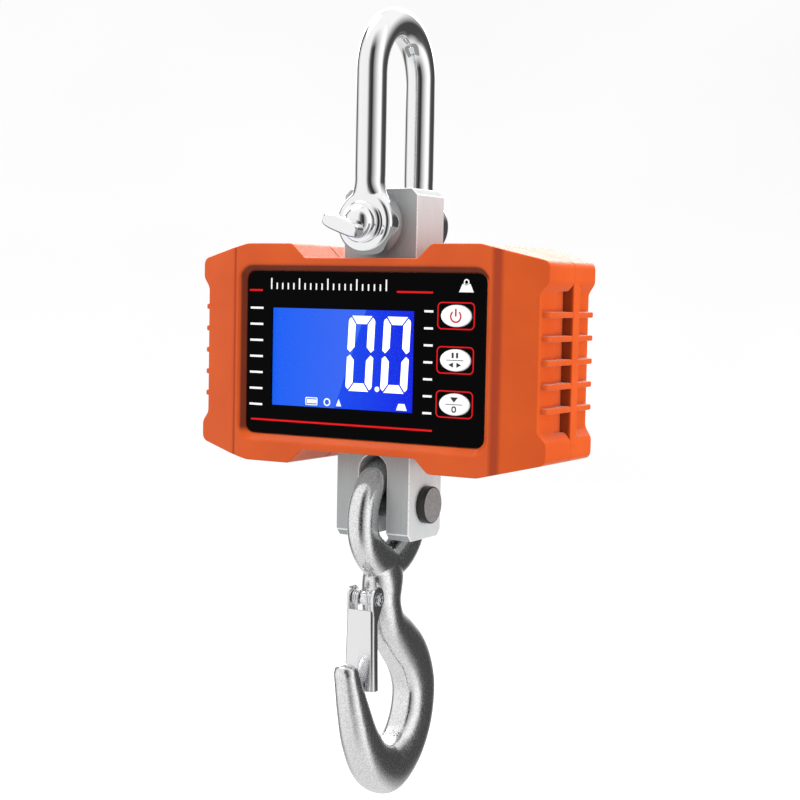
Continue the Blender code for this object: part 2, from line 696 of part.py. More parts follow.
def build_display(home):
    panel_y = (PANEL_FRONT_Y, PANEL_FRONT_Y + PANEL_THICKNESS)
    outline = rounded_rectangle((-PANEL_HALF_X, PANEL_HALF_X), (-PANEL_HALF_Z, PANEL_HALF_Z), PANEL_CORNER_R)
    panel = solid("fascia_panel", prism(outline, "Y", *panel_y), "panel_black", home)
    cut(panel, box(WINDOW_X, (-30, -10), WINDOW_Z), "window")
    for i in (-1, 0, 1):
        hole = ellipse(BUTTON_HALF_X + CLEARANCE, BUTTON_HALF_Z + CLEARANCE, (BUTTON_X, i * BUTTON_PITCH))
        cut(panel, prism(hole, "Y", -30, -10), f"button_hole{i}")
    lens_x = (WINDOW_X[0] + CLEARANCE, WINDOW_X[1] - CLEARANCE)
    lens_z = (WINDOW_Z[0] + CLEARANCE, WINDOW_Z[1] - CLEARANCE)
    solid("display_window", box(lens_x, panel_y, lens_z), "window_clear", home)
    glass_front = panel_y[1] + CLEARANCE
    glass_x = (WINDOW_X[0] - 0.6, WINDOW_X[1] + 0.6)
    glass_z = (WINDOW_Z[0] - 0.6, WINDOW_Z[1] + 0.6)
    solid("lcd_panel", box(glass_x, (glass_front, glass_front + 2.8), glass_z), "lcd_blue", home)
    light = (glass_front + 3.1, glass_front + 4.6)
    solid("backlight", box(glass_x, light, glass_z), "button_white", home)
    board_front = light[1] + CLEARANCE
    board = (board_front, board_front + 1.5)
    board_x, board_z = (-47.0, 49.0), (-29.0, 29.0)
    solid("main_board", box(board_x, board, board_z), "board_green", home)
    chip = (board[1] + CLEARANCE, board[1] + CLEARANCE + 1.6)
    solid("controller_chip", box((26, 38), chip, (-6, 6)), "black_plastic", home)
    return board_front


def build_buttons(home, board_front):
    back_of_cap = PANEL_FRONT_Y + 3.6
    for name, i in (("power", 1), ("hold", 0), ("zero", -1)):
        z = i * BUTTON_PITCH
        front = PANEL_FRONT_Y - BUTTON_PROUD
        rings = []
        for y, shrink in ((front, 0.5), (front + 0.3, 0.0), (back_of_cap, 0.0)):
            outline = ellipse(BUTTON_HALF_X - shrink, BUTTON_HALF_Z - shrink)
            rings.append([Vector((u, y - front, v)) for u, v in outline])
        solid(f"{name}_button", loft(rings), "button_white", home, (BUTTON_X, front, z))
        stem_front = back_of_cap + BUTTON_TRAVEL + 0.1
        body = (stem_front + 0.6, board_front - CLEARANCE)
        x, size = BUTTON_X, 3.0
        block = box((x - size, x + size), body, (z - size, z + size))
        switch = solid(f"{name}_switch", block, "black_plastic", home)
        join(switch, rod("Y", 1.6, stem_front, body[0] + 0.5, (x, z), 12), "plunger")


def build_power(home):
    inner = CASE_REAR_Y - WALL - 0.4
    cover_y = (CASE_REAR_Y - 2.0 + CLEARANCE, CASE_REAR_Y)
    outline = rounded_rectangle(BATTERY_COVER_X, (-BATTERY_COVER_HALF_Z, BATTERY_COVER_HALF_Z), 3.0)
    cover = solid("battery_cover", prism(outline, "Y", *cover_y), "black_plastic", home)
    mid_x = sum(BATTERY_COVER_X) / 2
    for i, z in enumerate(cover_screw_heights(), 1):
        cut(cover, rod("Y", 1.5, 20, 40, (mid_x, z), 16), f"screw_hole{i}")
        cut(cover, rod("Y", 2.6, CASE_REAR_Y - 1.0, 40, (mid_x, z), 16), f"screw_seat{i}")
        mesh = pan_screw(6.0, 1.2, 2.3, 0.6)
        seat = (mid_x, CASE_REAR_Y - 1.0 + CLEARANCE, z)
        solid(f"battery_cover_screw_{i}", mesh, "screw_steel", home, seat)
    pack = rounded_rectangle((mid_x - 14.5, mid_x + 14.5), (5.0, inner - 1.5), 4.0)
    solid("battery_pack", prism(pack, "Z", -22, 22), "pack_blue", home)
    flange = CASE_REAR_Y - SOCKET_RECESS + CLEARANCE
    socket = [(14.0, 3.4), (inner - 1.0, 3.4), (inner - 1.0, SOCKET_R), (flange, SOCKET_R)]
    socket += [(flange, SOCKET_FLANGE_R), (flange + 0.7, SOCKET_FLANGE_R)]
    socket.append((flange + 1.0, SOCKET_FLANGE_R - 0.3))
    body = solid("charge_socket", turned(socket, "Y", (SOCKET_X, 0)), "black_plastic", home)
    cut(body, rod("Y", SOCKET_BORE_R, 20, 40, (SOCKET_X, 0)), "socket_bore")
    flat_to_corner = 1 / math.cos(math.radians(30))
    nut_bore = (SOCKET_R + CLEARANCE) * flat_to_corner
    nut = ring_body("Y", nut_bore, 7.0, inner - 2.6, inner - CLEARANCE, (SOCKET_X, 0), 6)
    solid("socket_nut", nut, "screw_steel", home)


def build_brackets(home):
    """Angle brackets that hold the case on the load cell's sides, each with two screws."""
    for side, word in ((-1, "left"), (1, "right")):
        near = CELL_HALF_X + CLEARANCE
        outline = [(near, -9), (near + 2, -9), (near + 2, 18), (near + 6, 18), (near + 6, 20), (near, 20)]
        outline = [(side * x, y) for x, y in outline]
        bracket = solid(f"mount_bracket_{word}", prism(outline, "Z", 16, 28), "screw_steel", home)
        cut(bracket, rod("X", 1.6, -40, 40, (0, 22), 12), "screw_hole")
        mesh = pan_screw(1.7, 1.2, 2.6, 1.5)
        bmesh.ops.rotate(mesh, verts=mesh.verts, matrix=Matrix.Rotation(-side * math.pi / 2, 3, "Z"))
        solid(f"bracket_screw_{word}", mesh, "screw_steel", home, (side * (near + 2 + CLEARANCE), 0, 22))


def tube(name, points, radius, slot, home):
    """A thin round tube through hand-chosen points, smoothed."""
    smooth = catmull_rom(points, 4)
    data = bpy.data.curves.new(name, "CURVE")
    data.dimensions = "3D"
    data.bevel_depth = radius * MM
    data.bevel_resolution = 1
    data.use_fill_caps = True
    spline = data.splines.new("POLY")
    spline.points.add(len(smooth) - 1)
    for point, place_mm in zip(spline.points, smooth):
        point.co = (*(Vector(place_mm) * MM), 1.0)
    data.materials.append(material(slot))
    made = bpy.data.objects.new(name, data)
    bpy.context.scene.collection.objects.link(made)
    made.parent = home


def build_wiring(home):
    """The load cell's cable and the battery's lead, held inside the case all the way."""
    gauge_route = ((17.5, 13.9, -4), (21, 12.5, -8), (24, 4, -12), (26, -6, -14), (28, -11.5, -14))
    tube("cell_cable", gauge_route, 1.2, "black_plastic", home)
    battery_route = ((-37, 8, 23.5), (-37, 3, 27), (-34, -5, 27), (-30, -10.5, 24), (-29, -12.2, 20))
    tube("battery_lead", battery_route, 1.0, "seal_rubber", home)


# ---------------------------------------------------------------- hook


def build_hook_pin(home):
    profile = [
        (-17.9, HOOK_PIN_R - 0.8),
        (-17.1, HOOK_PIN_R),
        (CELL_HALF_X + CLEARANCE, HOOK_PIN_R),
        (CELL_HALF_X + CLEARANCE, HOOK_PIN_HEAD_R),
        (CELL_HALF_X + HOOK_PIN_HEAD_LENGTH - 0.4, HOOK_PIN_HEAD_R),
        (CELL_HALF_X + HOOK_PIN_HEAD_LENGTH, HOOK_PIN_HEAD_R - 0.4),
    ]
    solid("hook_pin", turned(profile, "X", sides=28), "black_oxide", home)
    ends = (-CELL_HALF_X - CLEARANCE - 1.2, -CELL_HALF_X - CLEARANCE)
    clip = ring_body("X", HOOK_PIN_R + CLEARANCE, HOOK_PIN_R + 2.2, *ends)
    solid("hook_pin_circlip", clip, "screw_steel", home)


def eye_hole_radius(from_bottom):
    """The eye's hole is round on top and narrows to a V at the bottom."""
    vee = math.sin(EYE_VEE) / math.sin(EYE_VEE + min(from_bottom, math.pi - 2 * EYE_VEE))
    return EYE_HOLE_R * vee


def eye_ring(steps=32, sides=16):
    """The ring of the hook's eye, deepest at its sides, as a body that closes on itself."""
    rings = []
    for i in range(steps):
        a = 2 * math.pi * i / steps
        from_bottom = abs(math.remainder(a + math.pi / 2, 2 * math.pi))
        outward = Vector((0, math.cos(a), math.sin(a)))
        top = max(0.0, math.sin(a)) ** 2
        depth = EYE_SIDE_HALF_DEPTH + (EYE_TOP_HALF_DEPTH - EYE_SIDE_HALF_DEPTH) * top
        inner, outer = eye_hole_radius(from_bottom), EYE_HOLE_R + 2 * depth
        centre = Vector((0, *EYE_CENTRE)) + outward * (inner + outer) / 2
        section = superellipse(EYE_HALF_X, (outer - inner) / 2, 2.3, sides)
        rings.append([centre + Vector((u, 0, 0)) + outward * v for u, v in section])
    return loft(rings, closed=True)


def build_hook(home):
    hook = solid("hook", swept(catmull_rom(HOOK_STATIONS, 4), 20, 2.4), "forged_zinc", home)
    join(hook, eye_ring(), "eye")
    tip_y, tip_z, depth, thickness = HOOK_STATIONS[-1]
    cap = bmesh.new()
    bmesh.ops.create_uvsphere(cap, u_segments=16, v_segments=10, radius=1.0)
    bmesh.ops.scale(cap, vec=(thickness * 0.96, depth * 0.96, 2.6), verts=cap.verts)
    bmesh.ops.translate(cap, vec=(0, tip_y, tip_z), verts=cap.verts)
    join(hook, cap, "tip")
    y, z = LATCH_AXIS
    lug = [(-2.6, -1.6), (0, -2.8), (6, -4), (6, 5), (1, 2.8), (-2.2, 1.8)]
    lug = [(y + u, z + v) for u, v in lug]
    join(hook, prism(lug, "X", -1.7, 1.7), "lug")
    cut(hook, rod("X", RIVET_R + CLEARANCE, -5, 5, (y, z), 16), "rivet_hole")
    ears = rod("X", LATCH_EAR_R + 0.9, LATCH_HALF_X - LATCH_SHEET - 0.5, 20, (y, z), 20)
    cut(hook, ears, "ear_room_right")
    ears = rod("X", LATCH_EAR_R + 0.9, -20, -LATCH_HALF_X + LATCH_SHEET + 0.5, (y, z), 20)
    cut(hook, ears, "ear_room_left")


def build_latch(home):
    """A pressed channel: a front plate, a flange down each side, and two round ears on the rivet."""
    front, flange_back = -4.3, -0.9
    rings = []
    for z, outer in ((-LATCH_LENGTH, LATCH_TIP_HALF_X), (-3.9, LATCH_HALF_X)):
        inner = outer - LATCH_SHEET
        section = [
            (-outer, flange_back),
            (-outer, front),
            (outer, front),
            (outer, flange_back),
            (inner, flange_back),
            (inner, front + LATCH_SHEET),
            (-inner, front + LATCH_SHEET),
            (-inner, flange_back),
        ]
        rings.append([Vector((x, y, z)) for x, y in section])
    latch = solid("hook_latch", loft(rings), "latch_zinc", home)
    ear = [(-2.9, -8.0), (-0.9, -9.0), (1.4, -5.0), (3.2, -1.6), (3.5, 0.6)]
    for i in range(7):
        a = math.radians(15 + 165 * i / 6)
        ear.append((-0.3 + 3.9 * math.cos(a), 0.6 + 4.1 * math.sin(a)))
    ear.append((-4.2, -3.0))
    for side in (-1, 1):
        ends = sorted((side * (LATCH_HALF_X - LATCH_SHEET), side * LATCH_HALF_X))
        join(latch, prism(ear, "X", *ends), f"ear{side}")
    cut(latch, rod("X", RIVET_R + CLEARANCE, -20, 20, sides=16), "rivet_hole")


def build_latch_spring(home):
    """A torsion spring: a coil on each side of the hook's lug, with a leg onto the latch plate."""
    data = bpy.data.curves.new("latch_spring", "CURVE")
    data.dimensions = "3D"
    data.bevel_depth = 0.45 * MM
    data.bevel_resolution = 1
    data.use_fill_caps = True
    wire_r, turns, start_x, end_x = 2.55, 2.25, 2.2, 4.3
    points = [(start_x, -2.4, -9.0)]
    steps = 26
    for i in range(steps + 1):
        a = math.radians(180) - 2 * math.pi * turns * i / steps
        x = start_x + (end_x - start_x) * i / steps
        points.append((x, wire_r * math.cos(a), wire_r * math.sin(a)))
    spline = data.splines.new("POLY")
    spline.points.add(len(points) - 1)
    for point, place_mm in zip(spline.points, points):
        point.co = (*(Vector(place_mm) * MM), 1.0)
    data.materials.append(material("screw_steel"))
    made = bpy.data.objects.new("latch_spring", data)
    bpy.context.scene.collection.objects.link(made)
    made.parent = home


def build_rivet(home):
    shaft = LATCH_HALF_X + CLEARANCE
    profile = [
        (-shaft - 0.9, RIVET_R),
        (-shaft - 0.6, 2.2),
        (-shaft, 2.4),
        (-shaft, RIVET_R),
        (shaft, RIVET_R),
        (shaft, 2.4),
        (shaft + 0.6, 2.2),
        (shaft + 0.9, RIVET_R),
    ]
    solid("latch_rivet", turned(profile, "X", sides=16), "screw_steel", home)


# ---------------------------------------------------------------- the whole object


def main():
    for found in list(bpy.data.objects):
        bpy.data.objects.remove(found)
    hang_point = empty("hang_point", None, (0, 0, 0))
    shackle_pin_axis = empty("shackle_pin_axis", hang_point, (0, 0, -SHACKLE_PIN_DROP))
    case_centre = empty("case_centre", shackle_pin_axis, (0, 0, SHACKLE_PIN_DROP - CASE_DROP))
    hook_pin_axis = empty("hook_pin_axis", case_centre, (0, 0, CASE_DROP - HOOK_PIN_DROP))
    latch_axis = empty("latch_axis", hook_pin_axis, (0, *LATCH_AXIS))

    build_shackle(shackle_pin_axis)
    build_shackle_pin(shackle_pin_axis)
    build_load_cell(case_centre)
    build_front_shell(case_centre)
    build_rear_shell(case_centre)
    build_gaskets(case_centre)
    build_cell_seals(case_centre)
    build_case_screws(case_centre)
    board_front = build_display(case_centre)
    build_buttons(case_centre, board_front)
    build_power(case_centre)
    build_brackets(case_centre)
    build_wiring(case_centre)
    build_hook_pin(hook_pin_axis)
    build_hook(hook_pin_axis)
    build_latch(latch_axis)
    build_latch_spring(latch_axis)
    build_rivet(latch_axis)


main()
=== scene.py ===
"""Looks of the hanging crane scale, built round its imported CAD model.

Shapes are drawn in millimetres about a reference point of the frame (a pin's axis or the case's centre), and
scaled by MM as they become objects. X runs to the right across the display, -Y is its front, +Z is up.
"""

import json
import math

import bmesh
import bpy
from mathutils import Matrix, Vector


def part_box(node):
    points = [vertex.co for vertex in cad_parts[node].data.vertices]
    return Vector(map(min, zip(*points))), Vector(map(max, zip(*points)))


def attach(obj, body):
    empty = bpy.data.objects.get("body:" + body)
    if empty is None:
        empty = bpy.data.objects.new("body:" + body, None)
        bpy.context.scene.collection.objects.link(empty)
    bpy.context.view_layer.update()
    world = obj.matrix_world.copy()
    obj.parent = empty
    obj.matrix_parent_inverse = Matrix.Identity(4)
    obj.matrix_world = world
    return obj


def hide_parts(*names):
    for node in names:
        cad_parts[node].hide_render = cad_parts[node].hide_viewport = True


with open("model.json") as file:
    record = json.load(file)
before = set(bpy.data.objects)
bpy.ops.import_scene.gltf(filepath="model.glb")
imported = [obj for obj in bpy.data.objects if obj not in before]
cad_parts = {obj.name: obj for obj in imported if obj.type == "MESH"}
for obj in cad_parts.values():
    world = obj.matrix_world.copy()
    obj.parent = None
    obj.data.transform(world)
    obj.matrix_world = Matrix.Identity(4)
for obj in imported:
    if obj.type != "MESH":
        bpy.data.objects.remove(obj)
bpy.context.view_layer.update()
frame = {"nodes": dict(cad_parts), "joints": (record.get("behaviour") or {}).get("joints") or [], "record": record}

MM = 0.001

JOINTS = {joint["name"]: joint for joint in frame["joints"]}
SHACKLE_PIN = Vector(JOINTS["case_swing"]["pos_m"])
HOOK_PIN = Vector(JOINTS["hook_swing"]["pos_m"])
LATCH_PIN = Vector(JOINTS["latch_pivot"]["pos_m"])
SHELL_LOW, SHELL_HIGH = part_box("front_shell")
CASE = Vector((0, 0, (SHELL_LOW.z + SHELL_HIGH.z) / 2))
PANEL_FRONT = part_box("fascia_panel")[0].y / MM
LCD_LOW, LCD_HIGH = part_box("lcd_panel")

BODY_OF = {node: body for body, nodes in frame["record"]["behaviour"]["bodies"].items() for node in nodes}
SLOT_OF = {part["node"]: part["material_slot"] for part in frame["record"]["subparts"]}


# ---------------------------------------------------------------- materials


class Paint:
    """A Principled material with short calls for the texture nodes that vary it."""

    def __init__(self, name, base, roughness, metallic=0.0, **sockets):
        self.material = bpy.data.materials.new(name)
        self.material.use_nodes = True
        self.tree = self.material.node_tree
        self.shader = self.tree.nodes["Principled BSDF"]
        self.fill(self.shader, Base_Color=(*base, 1.0), Roughness=roughness, Metallic=metallic, **sockets)
        self.where = self.tree.nodes.new("ShaderNodeTexCoord").outputs["Object"]

    def fill(self, node, **values):
        for key, value in values.items():
            node.inputs[key.replace("_", " ")].default_value = value

    def add(self, kind, sources=(), **values):
        node = self.tree.nodes.new(kind)
        self.fill(node, **values)
        for key, source in dict(sources).items():
            self.tree.links.new(source, node.inputs[key])
        return node

    def noise(self, grain_mm, detail=2.0, stretch=(1, 1, 1)):
        """Noise with cells of that size; a stretch below 1 draws it out along an axis."""
        mapping = self.add("ShaderNodeMapping", {"Vector": self.where}, Scale=stretch)
        scale = 1 / (grain_mm * MM)
        sources = {"Vector": mapping.outputs[0]}
        return self.add("ShaderNodeTexNoise", sources, Scale=scale, Detail=detail).outputs["Fac"]

    def spread(self, source, low, high, start=0.35, end=0.65):
        """The source's start..end range as low..high."""
        node = self.add("ShaderNodeMapRange", {"Value": source})
        self.fill(node, From_Min=start, From_Max=end, To_Min=low, To_Max=high)
        return node.outputs[0]

    def band(self, source, low, high, start_mm, end_mm):
        """A stretch of a place or distance, in millimetres, as low..high."""
        return self.spread(source, low, high, start_mm * MM, end_mm * MM)

    def tint(self, source, a, b, start=0.35, end=0.65):
        """The base colour goes from a to b as the source goes from start to end."""
        colour = self.blend(self.spread(source, 0, 1, start, end), a, b)
        self.tree.links.new(colour, self.shader.inputs["Base Color"])

    def blend(self, share, a, b):
        """Colours a and b mixed; each is a colour or another blend."""
        mix = self.tree.nodes.new("ShaderNodeMix")
        mix.data_type = "RGBA"
        self.tree.links.new(share, mix.inputs[0])
        for slot, colour in ((6, a), (7, b)):
            if isinstance(colour, tuple):
                mix.inputs[slot].default_value = (*colour, 1.0)
            else:
                self.tree.links.new(colour, mix.inputs[slot])
        return mix.outputs[2]

    def maths(self, operation, a, b=None):
        node = self.tree.nodes.new("ShaderNodeMath")
        node.operation = operation
        for slot, value in enumerate((a, b)):
            if isinstance(value, float):
                node.inputs[slot].default_value = value
            elif value is not None:
                self.tree.links.new(value, node.inputs[slot])
        return node.outputs[0]

    def times(self, share, *others):
        """The product of several shares."""
        for other in others:
            share = self.maths("MULTIPLY", share, other)
        return share

    def rough(self, source, low, high):
        self.tree.links.new(self.spread(source, low, high), self.shader.inputs["Roughness"])

    def bump(self, *layers):
        """Bump layers, each (source, strength, depth in mm), one over the other."""
        normal = None
        for source, strength, depth in layers:
            sources = {"Height": source}
            if normal:
                sources["Normal"] = normal
            normal = self.add("ShaderNodeBump", sources, Strength=strength, Distance=depth * MM).outputs[0]
        self.tree.links.new(normal, self.shader.inputs["Normal"])


# Places of the painted shade on the orange coat, in millimetres
CREASE_X = 56.2
CREASE_TOP = 40.0
RIM_SIDE = 53.4
RIM_FOOT = -31.0
RIM_TOP = 34.6
FRONT_Y = -24.6


def crease_shade_share(paint, x, y, out, height):
    """Where shade is painted down the crease on each side of the front. The right one is wider."""
    off_crease = paint.maths("ABSOLUTE", paint.maths("SUBTRACT", out, CREASE_X * MM))
    off_right = paint.maths("ABSOLUTE", paint.maths("SUBTRACT", out, (CREASE_X + 0.7) * MM))
    narrow = paint.band(off_crease, 1, 0, 0.2, 0.9)
    wide = paint.times(paint.band(off_right, 1, 0, 0.9, 2.6), paint.band(x, 0, 1, -1, 1))
    line = paint.maths("MAXIMUM", wide, narrow)
    short = paint.band(paint.maths("ABSOLUTE", height), 1, 0, CREASE_TOP, CREASE_TOP + 1.2)
    return paint.times(line, paint.band(y, 1, 0, -19, -15), short)


def rim_shade_share(paint, x, y, out, height):
    """Where shade is painted round the panel's rim: along its top and down its left side."""
    behind_front = paint.band(y, 0, 1, FRONT_Y, FRONT_Y + 0.6)
    before_wall = paint.band(y, 1, 0, -21, -20)
    within = paint.band(out, 1, 0, RIM_SIDE, RIM_SIDE + 0.6)
    left_or_top = paint.maths("MAXIMUM", paint.band(x, 1, 0, -1, 1), paint.band(height, 0, 1, 28.5, 30))
    above = paint.band(height, 0, 1, RIM_FOOT, RIM_FOOT + 2)
    below = paint.band(height, 1, 0, RIM_TOP, RIM_TOP + 0.4)
    return paint.times(within, behind_front, left_or_top, above, before_wall, below)


def coat_orange():
    """Textured orange coat, with painted shade down the front creases, round the panel and deep in the grips."""
    paint = Paint("orange_coat", (0.62, 0.074, 0.004), 0.38, IOR=1.45, Specular_IOR_Level=0.30)
    paint.fill(paint.shader, Coat_Weight=0.06, Coat_Roughness=0.16)
    paint.fill(paint.shader, Sheen_Weight=0.38, Sheen_Roughness=0.24, Sheen_Tint=(1.0, 0.93, 0.86, 1.0))
    split = paint.add("ShaderNodeSeparateXYZ", {"Vector": paint.where})
    x, y, z = (split.outputs[axis] for axis in "XYZ")
    out = paint.maths("ABSOLUTE", x)
    height = paint.maths("SUBTRACT", z, CASE.z)
    crease = crease_shade_share(paint, x, y, out, height)
    rim = rim_shade_share(paint, x, y, out, height)
    # Painted shade on the fin's front wall, deep in the grips
    deep = paint.times(
        paint.band(y, 0, 1, 0.9, 1.24),
        paint.band(y, 1, 0, 1.6, 1.9),
        paint.band(out, 1, 0, 73.6, 74.6),
    )
    coat_tone = paint.blend(paint.spread(paint.noise(22), 0, 1), (0.60, 0.075, 0.003), (0.65, 0.086, 0.004))
    # The coat's tone with painted shade laid on: down the creases, round the rim, then deep in the grips
    shaded_coat = paint.blend(crease, coat_tone, (0.37, 0.036, 0.001))
    shaded_coat = paint.blend(paint.maths("MULTIPLY", rim, 0.85), shaded_coat, (0.10, 0.010, 0.001))
    shaded_coat = paint.blend(paint.maths("MULTIPLY", deep, 0.75), shaded_coat, (0.16, 0.030, 0.001))
    paint.tree.links.new(shaded_coat, paint.shader.inputs["Base Color"])
    paint.rough(paint.noise(0.9), 0.32, 0.48)
    paint.bump((paint.noise(1.1), 0.42, 0.10), (paint.noise(0.45), 0.38, 0.05))
    return paint.material


def steel_polished():
    paint = Paint("polished_steel", (0.93, 0.93, 0.94), 0.05, 1.0)
    paint.rough(paint.noise(9), 0.03, 0.08)
    paint.bump((paint.noise(14), 0.10, 0.25))
    return paint.material


def cell_satin(name="cell_aluminium", tone=0.40):
    paint = Paint(name, (tone, tone * 1.02, tone * 1.03), 0.45, 0.1, Specular_IOR_Level=0.25)
    grain = paint.noise(0.35, 3.0, (1, 1, 0.05))
    paint.tint(grain, (tone * 0.93, tone * 0.97, tone * 0.98), (tone * 1.0, tone * 1.06, tone * 1.07))
    paint.rough(grain, 0.40, 0.52)
    paint.bump((grain, 0.10, 0.03), (paint.noise(0.5), 0.10, 0.03))
    return paint.material


def cell_lit_side():
    """The cell's left and right sides, painted paler than its front and back: painted light on its sides."""
    return cell_satin("cell_lit_side", 0.56)


def cell_edge_highlight():
    """The cell's chamfers, painted far paler than its faces: a painted highlight along its edges."""
    paint = Paint("cell_chamfer_highlight", (0.85, 0.85, 0.86), 0.3, 0.3)
    paint.rough(paint.noise(0.5), 0.24, 0.36)
    return paint.material


def zinc_forged():
    """Bright zinc over a forged skin, which mirrors light and dark and speckles them."""
    paint = Paint("forged_zinc", (0.78, 0.78, 0.79), 0.24, 1.0)
    grain = paint.noise(0.55, 3.0)
    paint.tint(grain, (0.68, 0.68, 0.685), (0.97, 0.97, 0.98))
    paint.rough(paint.noise(0.8), 0.15, 0.28)
    paint.bump((paint.noise(10), 0.25, 0.5), (paint.noise(2.4), 0.18, 0.2), (grain, 0.36, 0.08))
    return paint.material


def zinc_sheet():
    paint = Paint("latch_zinc", (0.84, 0.84, 0.85), 0.18, 1.0)
    grain = paint.noise(0.4, 2.0, (1, 1, 0.06))
    paint.rough(grain, 0.13, 0.24)
    paint.bump((grain, 0.15, 0.02), (paint.noise(7), 0.12, 0.15))
    return paint.material


def steel_screw():
    paint = Paint("screw_steel", (0.66, 0.67, 0.68), 0.26, 1.0)
    paint.rough(paint.noise(0.8), 0.20, 0.36)
    paint.bump((paint.noise(1.4), 0.12, 0.05))
    return paint.material


def oxide_black():
    paint = Paint("black_oxide", (0.020, 0.020, 0.021), 0.34, 0.3)
    paint.rough(paint.noise(0.8), 0.28, 0.42)
    paint.bump((paint.noise(0.6), 0.18, 0.04))
    return paint.material


def oxide_face():
    """The pin's end face, paler than its sides."""
    paint = Paint("black_oxide_face", (0.25, 0.25, 0.25), 0.5)
    paint.tint(paint.noise(1.2), (0.17, 0.17, 0.17), (0.22, 0.22, 0.22))
    paint.bump((paint.noise(0.5), 0.12, 0.03))
    return paint.material


def plastic_black():
    paint = Paint("black_plastic", (0.022, 0.022, 0.023), 0.45)
    paint.rough(paint.noise(0.6), 0.38, 0.55)
    paint.bump((paint.noise(0.5), 0.30, 0.05))
    return paint.material


def rubber_black():
    paint = Paint("seal_rubber", (0.028, 0.028, 0.028), 0.75)
    paint.bump((paint.noise(0.7), 0.30, 0.06))
    return paint.material


def film_black():
    paint = Paint("panel_black", (0.0008, 0.0008, 0.0010), 0.25, Specular_IOR_Level=0.03)
    paint.bump((paint.noise(0.5), 0.05, 0.01))
    return paint.material


def window_clear():
    """Clear acrylic, seen mostly for what lies behind it."""
    paint = Paint("window_clear", (0.01, 0.02, 0.04), 0.04, Alpha=0.04, Specular_IOR_Level=0.15)
    paint.bump((paint.noise(30), 0.02, 0.05))
    return paint.material


def lcd_blue():
    """Backlit blue, lighter at the side of its lamps. Left of a soft slanting edge, a painted glare lightens it.
    """
    paint = Paint("lcd_blue", (0.0, 0.002, 0.02), 0.3, Specular_IOR_Level=0.1)
    split = paint.add("ShaderNodeSeparateXYZ", {"Vector": paint.where})
    across = paint.spread(split.outputs["X"], 0, 1, LCD_LOW.x, LCD_HIGH.x)
    slant = paint.maths("MULTIPLY", split.outputs["Z"], -0.357)
    # Left of a soft slanting edge the blue is lighter: a painted glare of the window
    side = paint.band(paint.maths("ADD", slant, split.outputs["X"]), 1, 0, 36.9, 37.6)
    lamp = paint.blend(across, (0.010, 0.128, 0.97), (0.0035, 0.012, 0.83))
    painted_glare = paint.blend(across, (0.008, 0.125, 0.97), (0.075, 0.165, 0.95))
    paint.tree.links.new(paint.blend(side, lamp, painted_glare), paint.shader.inputs["Emission Color"])
    paint.fill(paint.shader, Emission_Strength=1.0)
    paint.bump((paint.noise(0.6), 0.04, 0.01))
    return paint.material


def glow(name, colour, strength):
    paint = Paint(name, colour, 0.4, Emission_Color=(*colour, 1.0), Emission_Strength=strength)
    paint.bump((paint.noise(0.8), 0.05, 0.01))
    return paint.material


def ink(name, colour, painted_glow=0.0):
    paint = Paint(name, colour, 0.5, Specular_IOR_Level=0.1)
    # A faint emission on some prints: a painted glow
    paint.fill(paint.shader, Emission_Color=(*colour, 1.0), Emission_Strength=painted_glow)
    paint.bump((paint.noise(0.4), 0.08, 0.01))
    return paint.material


def cap_white():
    paint = Paint("button_white", (0.86, 0.86, 0.86), 0.42)
    # A faint emission on the caps: a painted glow
    paint.fill(paint.shader, Emission_Color=(1, 1, 1, 1), Emission_Strength=0.12)
    paint.tint(paint.noise(3), (0.84, 0.84, 0.84), (0.88, 0.88, 0.88))
    paint.bump((paint.noise(0.6), 0.12, 0.02))
    return paint.material


def board_green():
    paint = Paint("board_green", (0.012, 0.12, 0.045), 0.4)
    paint.tint(paint.noise(2.5), (0.010, 0.10, 0.04), (0.02, 0.16, 0.06))
    return paint.material


def sleeve_blue():
    paint = Paint("pack_blue", (0.03, 0.10, 0.35), 0.32)
    paint.bump((paint.noise(6), 0.2, 0.2))
    return paint.material


def plain_floor():
    paint = Paint("pale_floor", (0.86, 0.86, 0.86), 0.85, Specular_IOR_Level=0.0)
    paint.tint(paint.noise(700), (0.85, 0.85, 0.85), (0.87, 0.87, 0.87))
    paint.fill(paint.shader, Emission_Color=(1, 1, 1, 1), Emission_Strength=0.2)
    return paint.material


PAINTS = {
    "polished_steel": steel_polished(),
    "cell_aluminium": cell_satin(),
    "orange_coat": coat_orange(),
    "panel_black": film_black(),
    "window_clear": window_clear(),
    "lcd_blue": lcd_blue(),
    "button_white": cap_white(),
    "board_green": board_green(),
    "black_plastic": plastic_black(),
    "seal_rubber": rubber_black(),
    "screw_steel": steel_screw(),
    "forged_zinc": zinc_forged(),
    "latch_zinc": zinc_sheet(),
    "black_oxide": oxide_black(),
    "pack_blue": sleeve_blue(),
}


def dress_frame():
    """Every CAD node gets its slot's material, whether or not a finer piece replaces it later."""
    for name, node in frame["nodes"].items():
        node.data.materials.clear()
        node.data.materials.append(PAINTS[SLOT_OF[name]])


# ---------------------------------------------------------------- shapes


def loft(rings, closed=False):
    """A body through rings of equal length, with flat ends or with its last ring joined to its first."""
    mesh = bmesh.new()
    rows = [[mesh.verts.new(point) for point in ring] for ring in rings]
    count = len(rows[0])
    for row, following in zip(rows, rows[1:] + rows[:1] if closed else rows[1:]):
        for i in range(count):
            j = (i + 1) % count
            mesh.faces.new((row[i], row[j], following[j], following[i]))
    if not closed:
        mesh.faces.new(rows[0][::-1])
        mesh.faces.new(rows[-1])
    return mesh


def ramp(value, start, end):
    """Goes from 0 at the start to 1 at the end."""
    return min(max((value - start) / (end - start), 0.0), 1.0)


def quarter(steps=8):
    """Angles of a quarter turn, from 0 to 90 degrees."""
    return [math.pi / 2 * i / steps for i in range(steps + 1)]


def spot(axis, u, v, along):
    """The point at u, v in the plane across an axis, at a distance along it."""
    if axis == "X":
        return Vector((along, u, v))
    if axis == "Y":
        return Vector((u, along, v))
    return Vector((u, v, along))


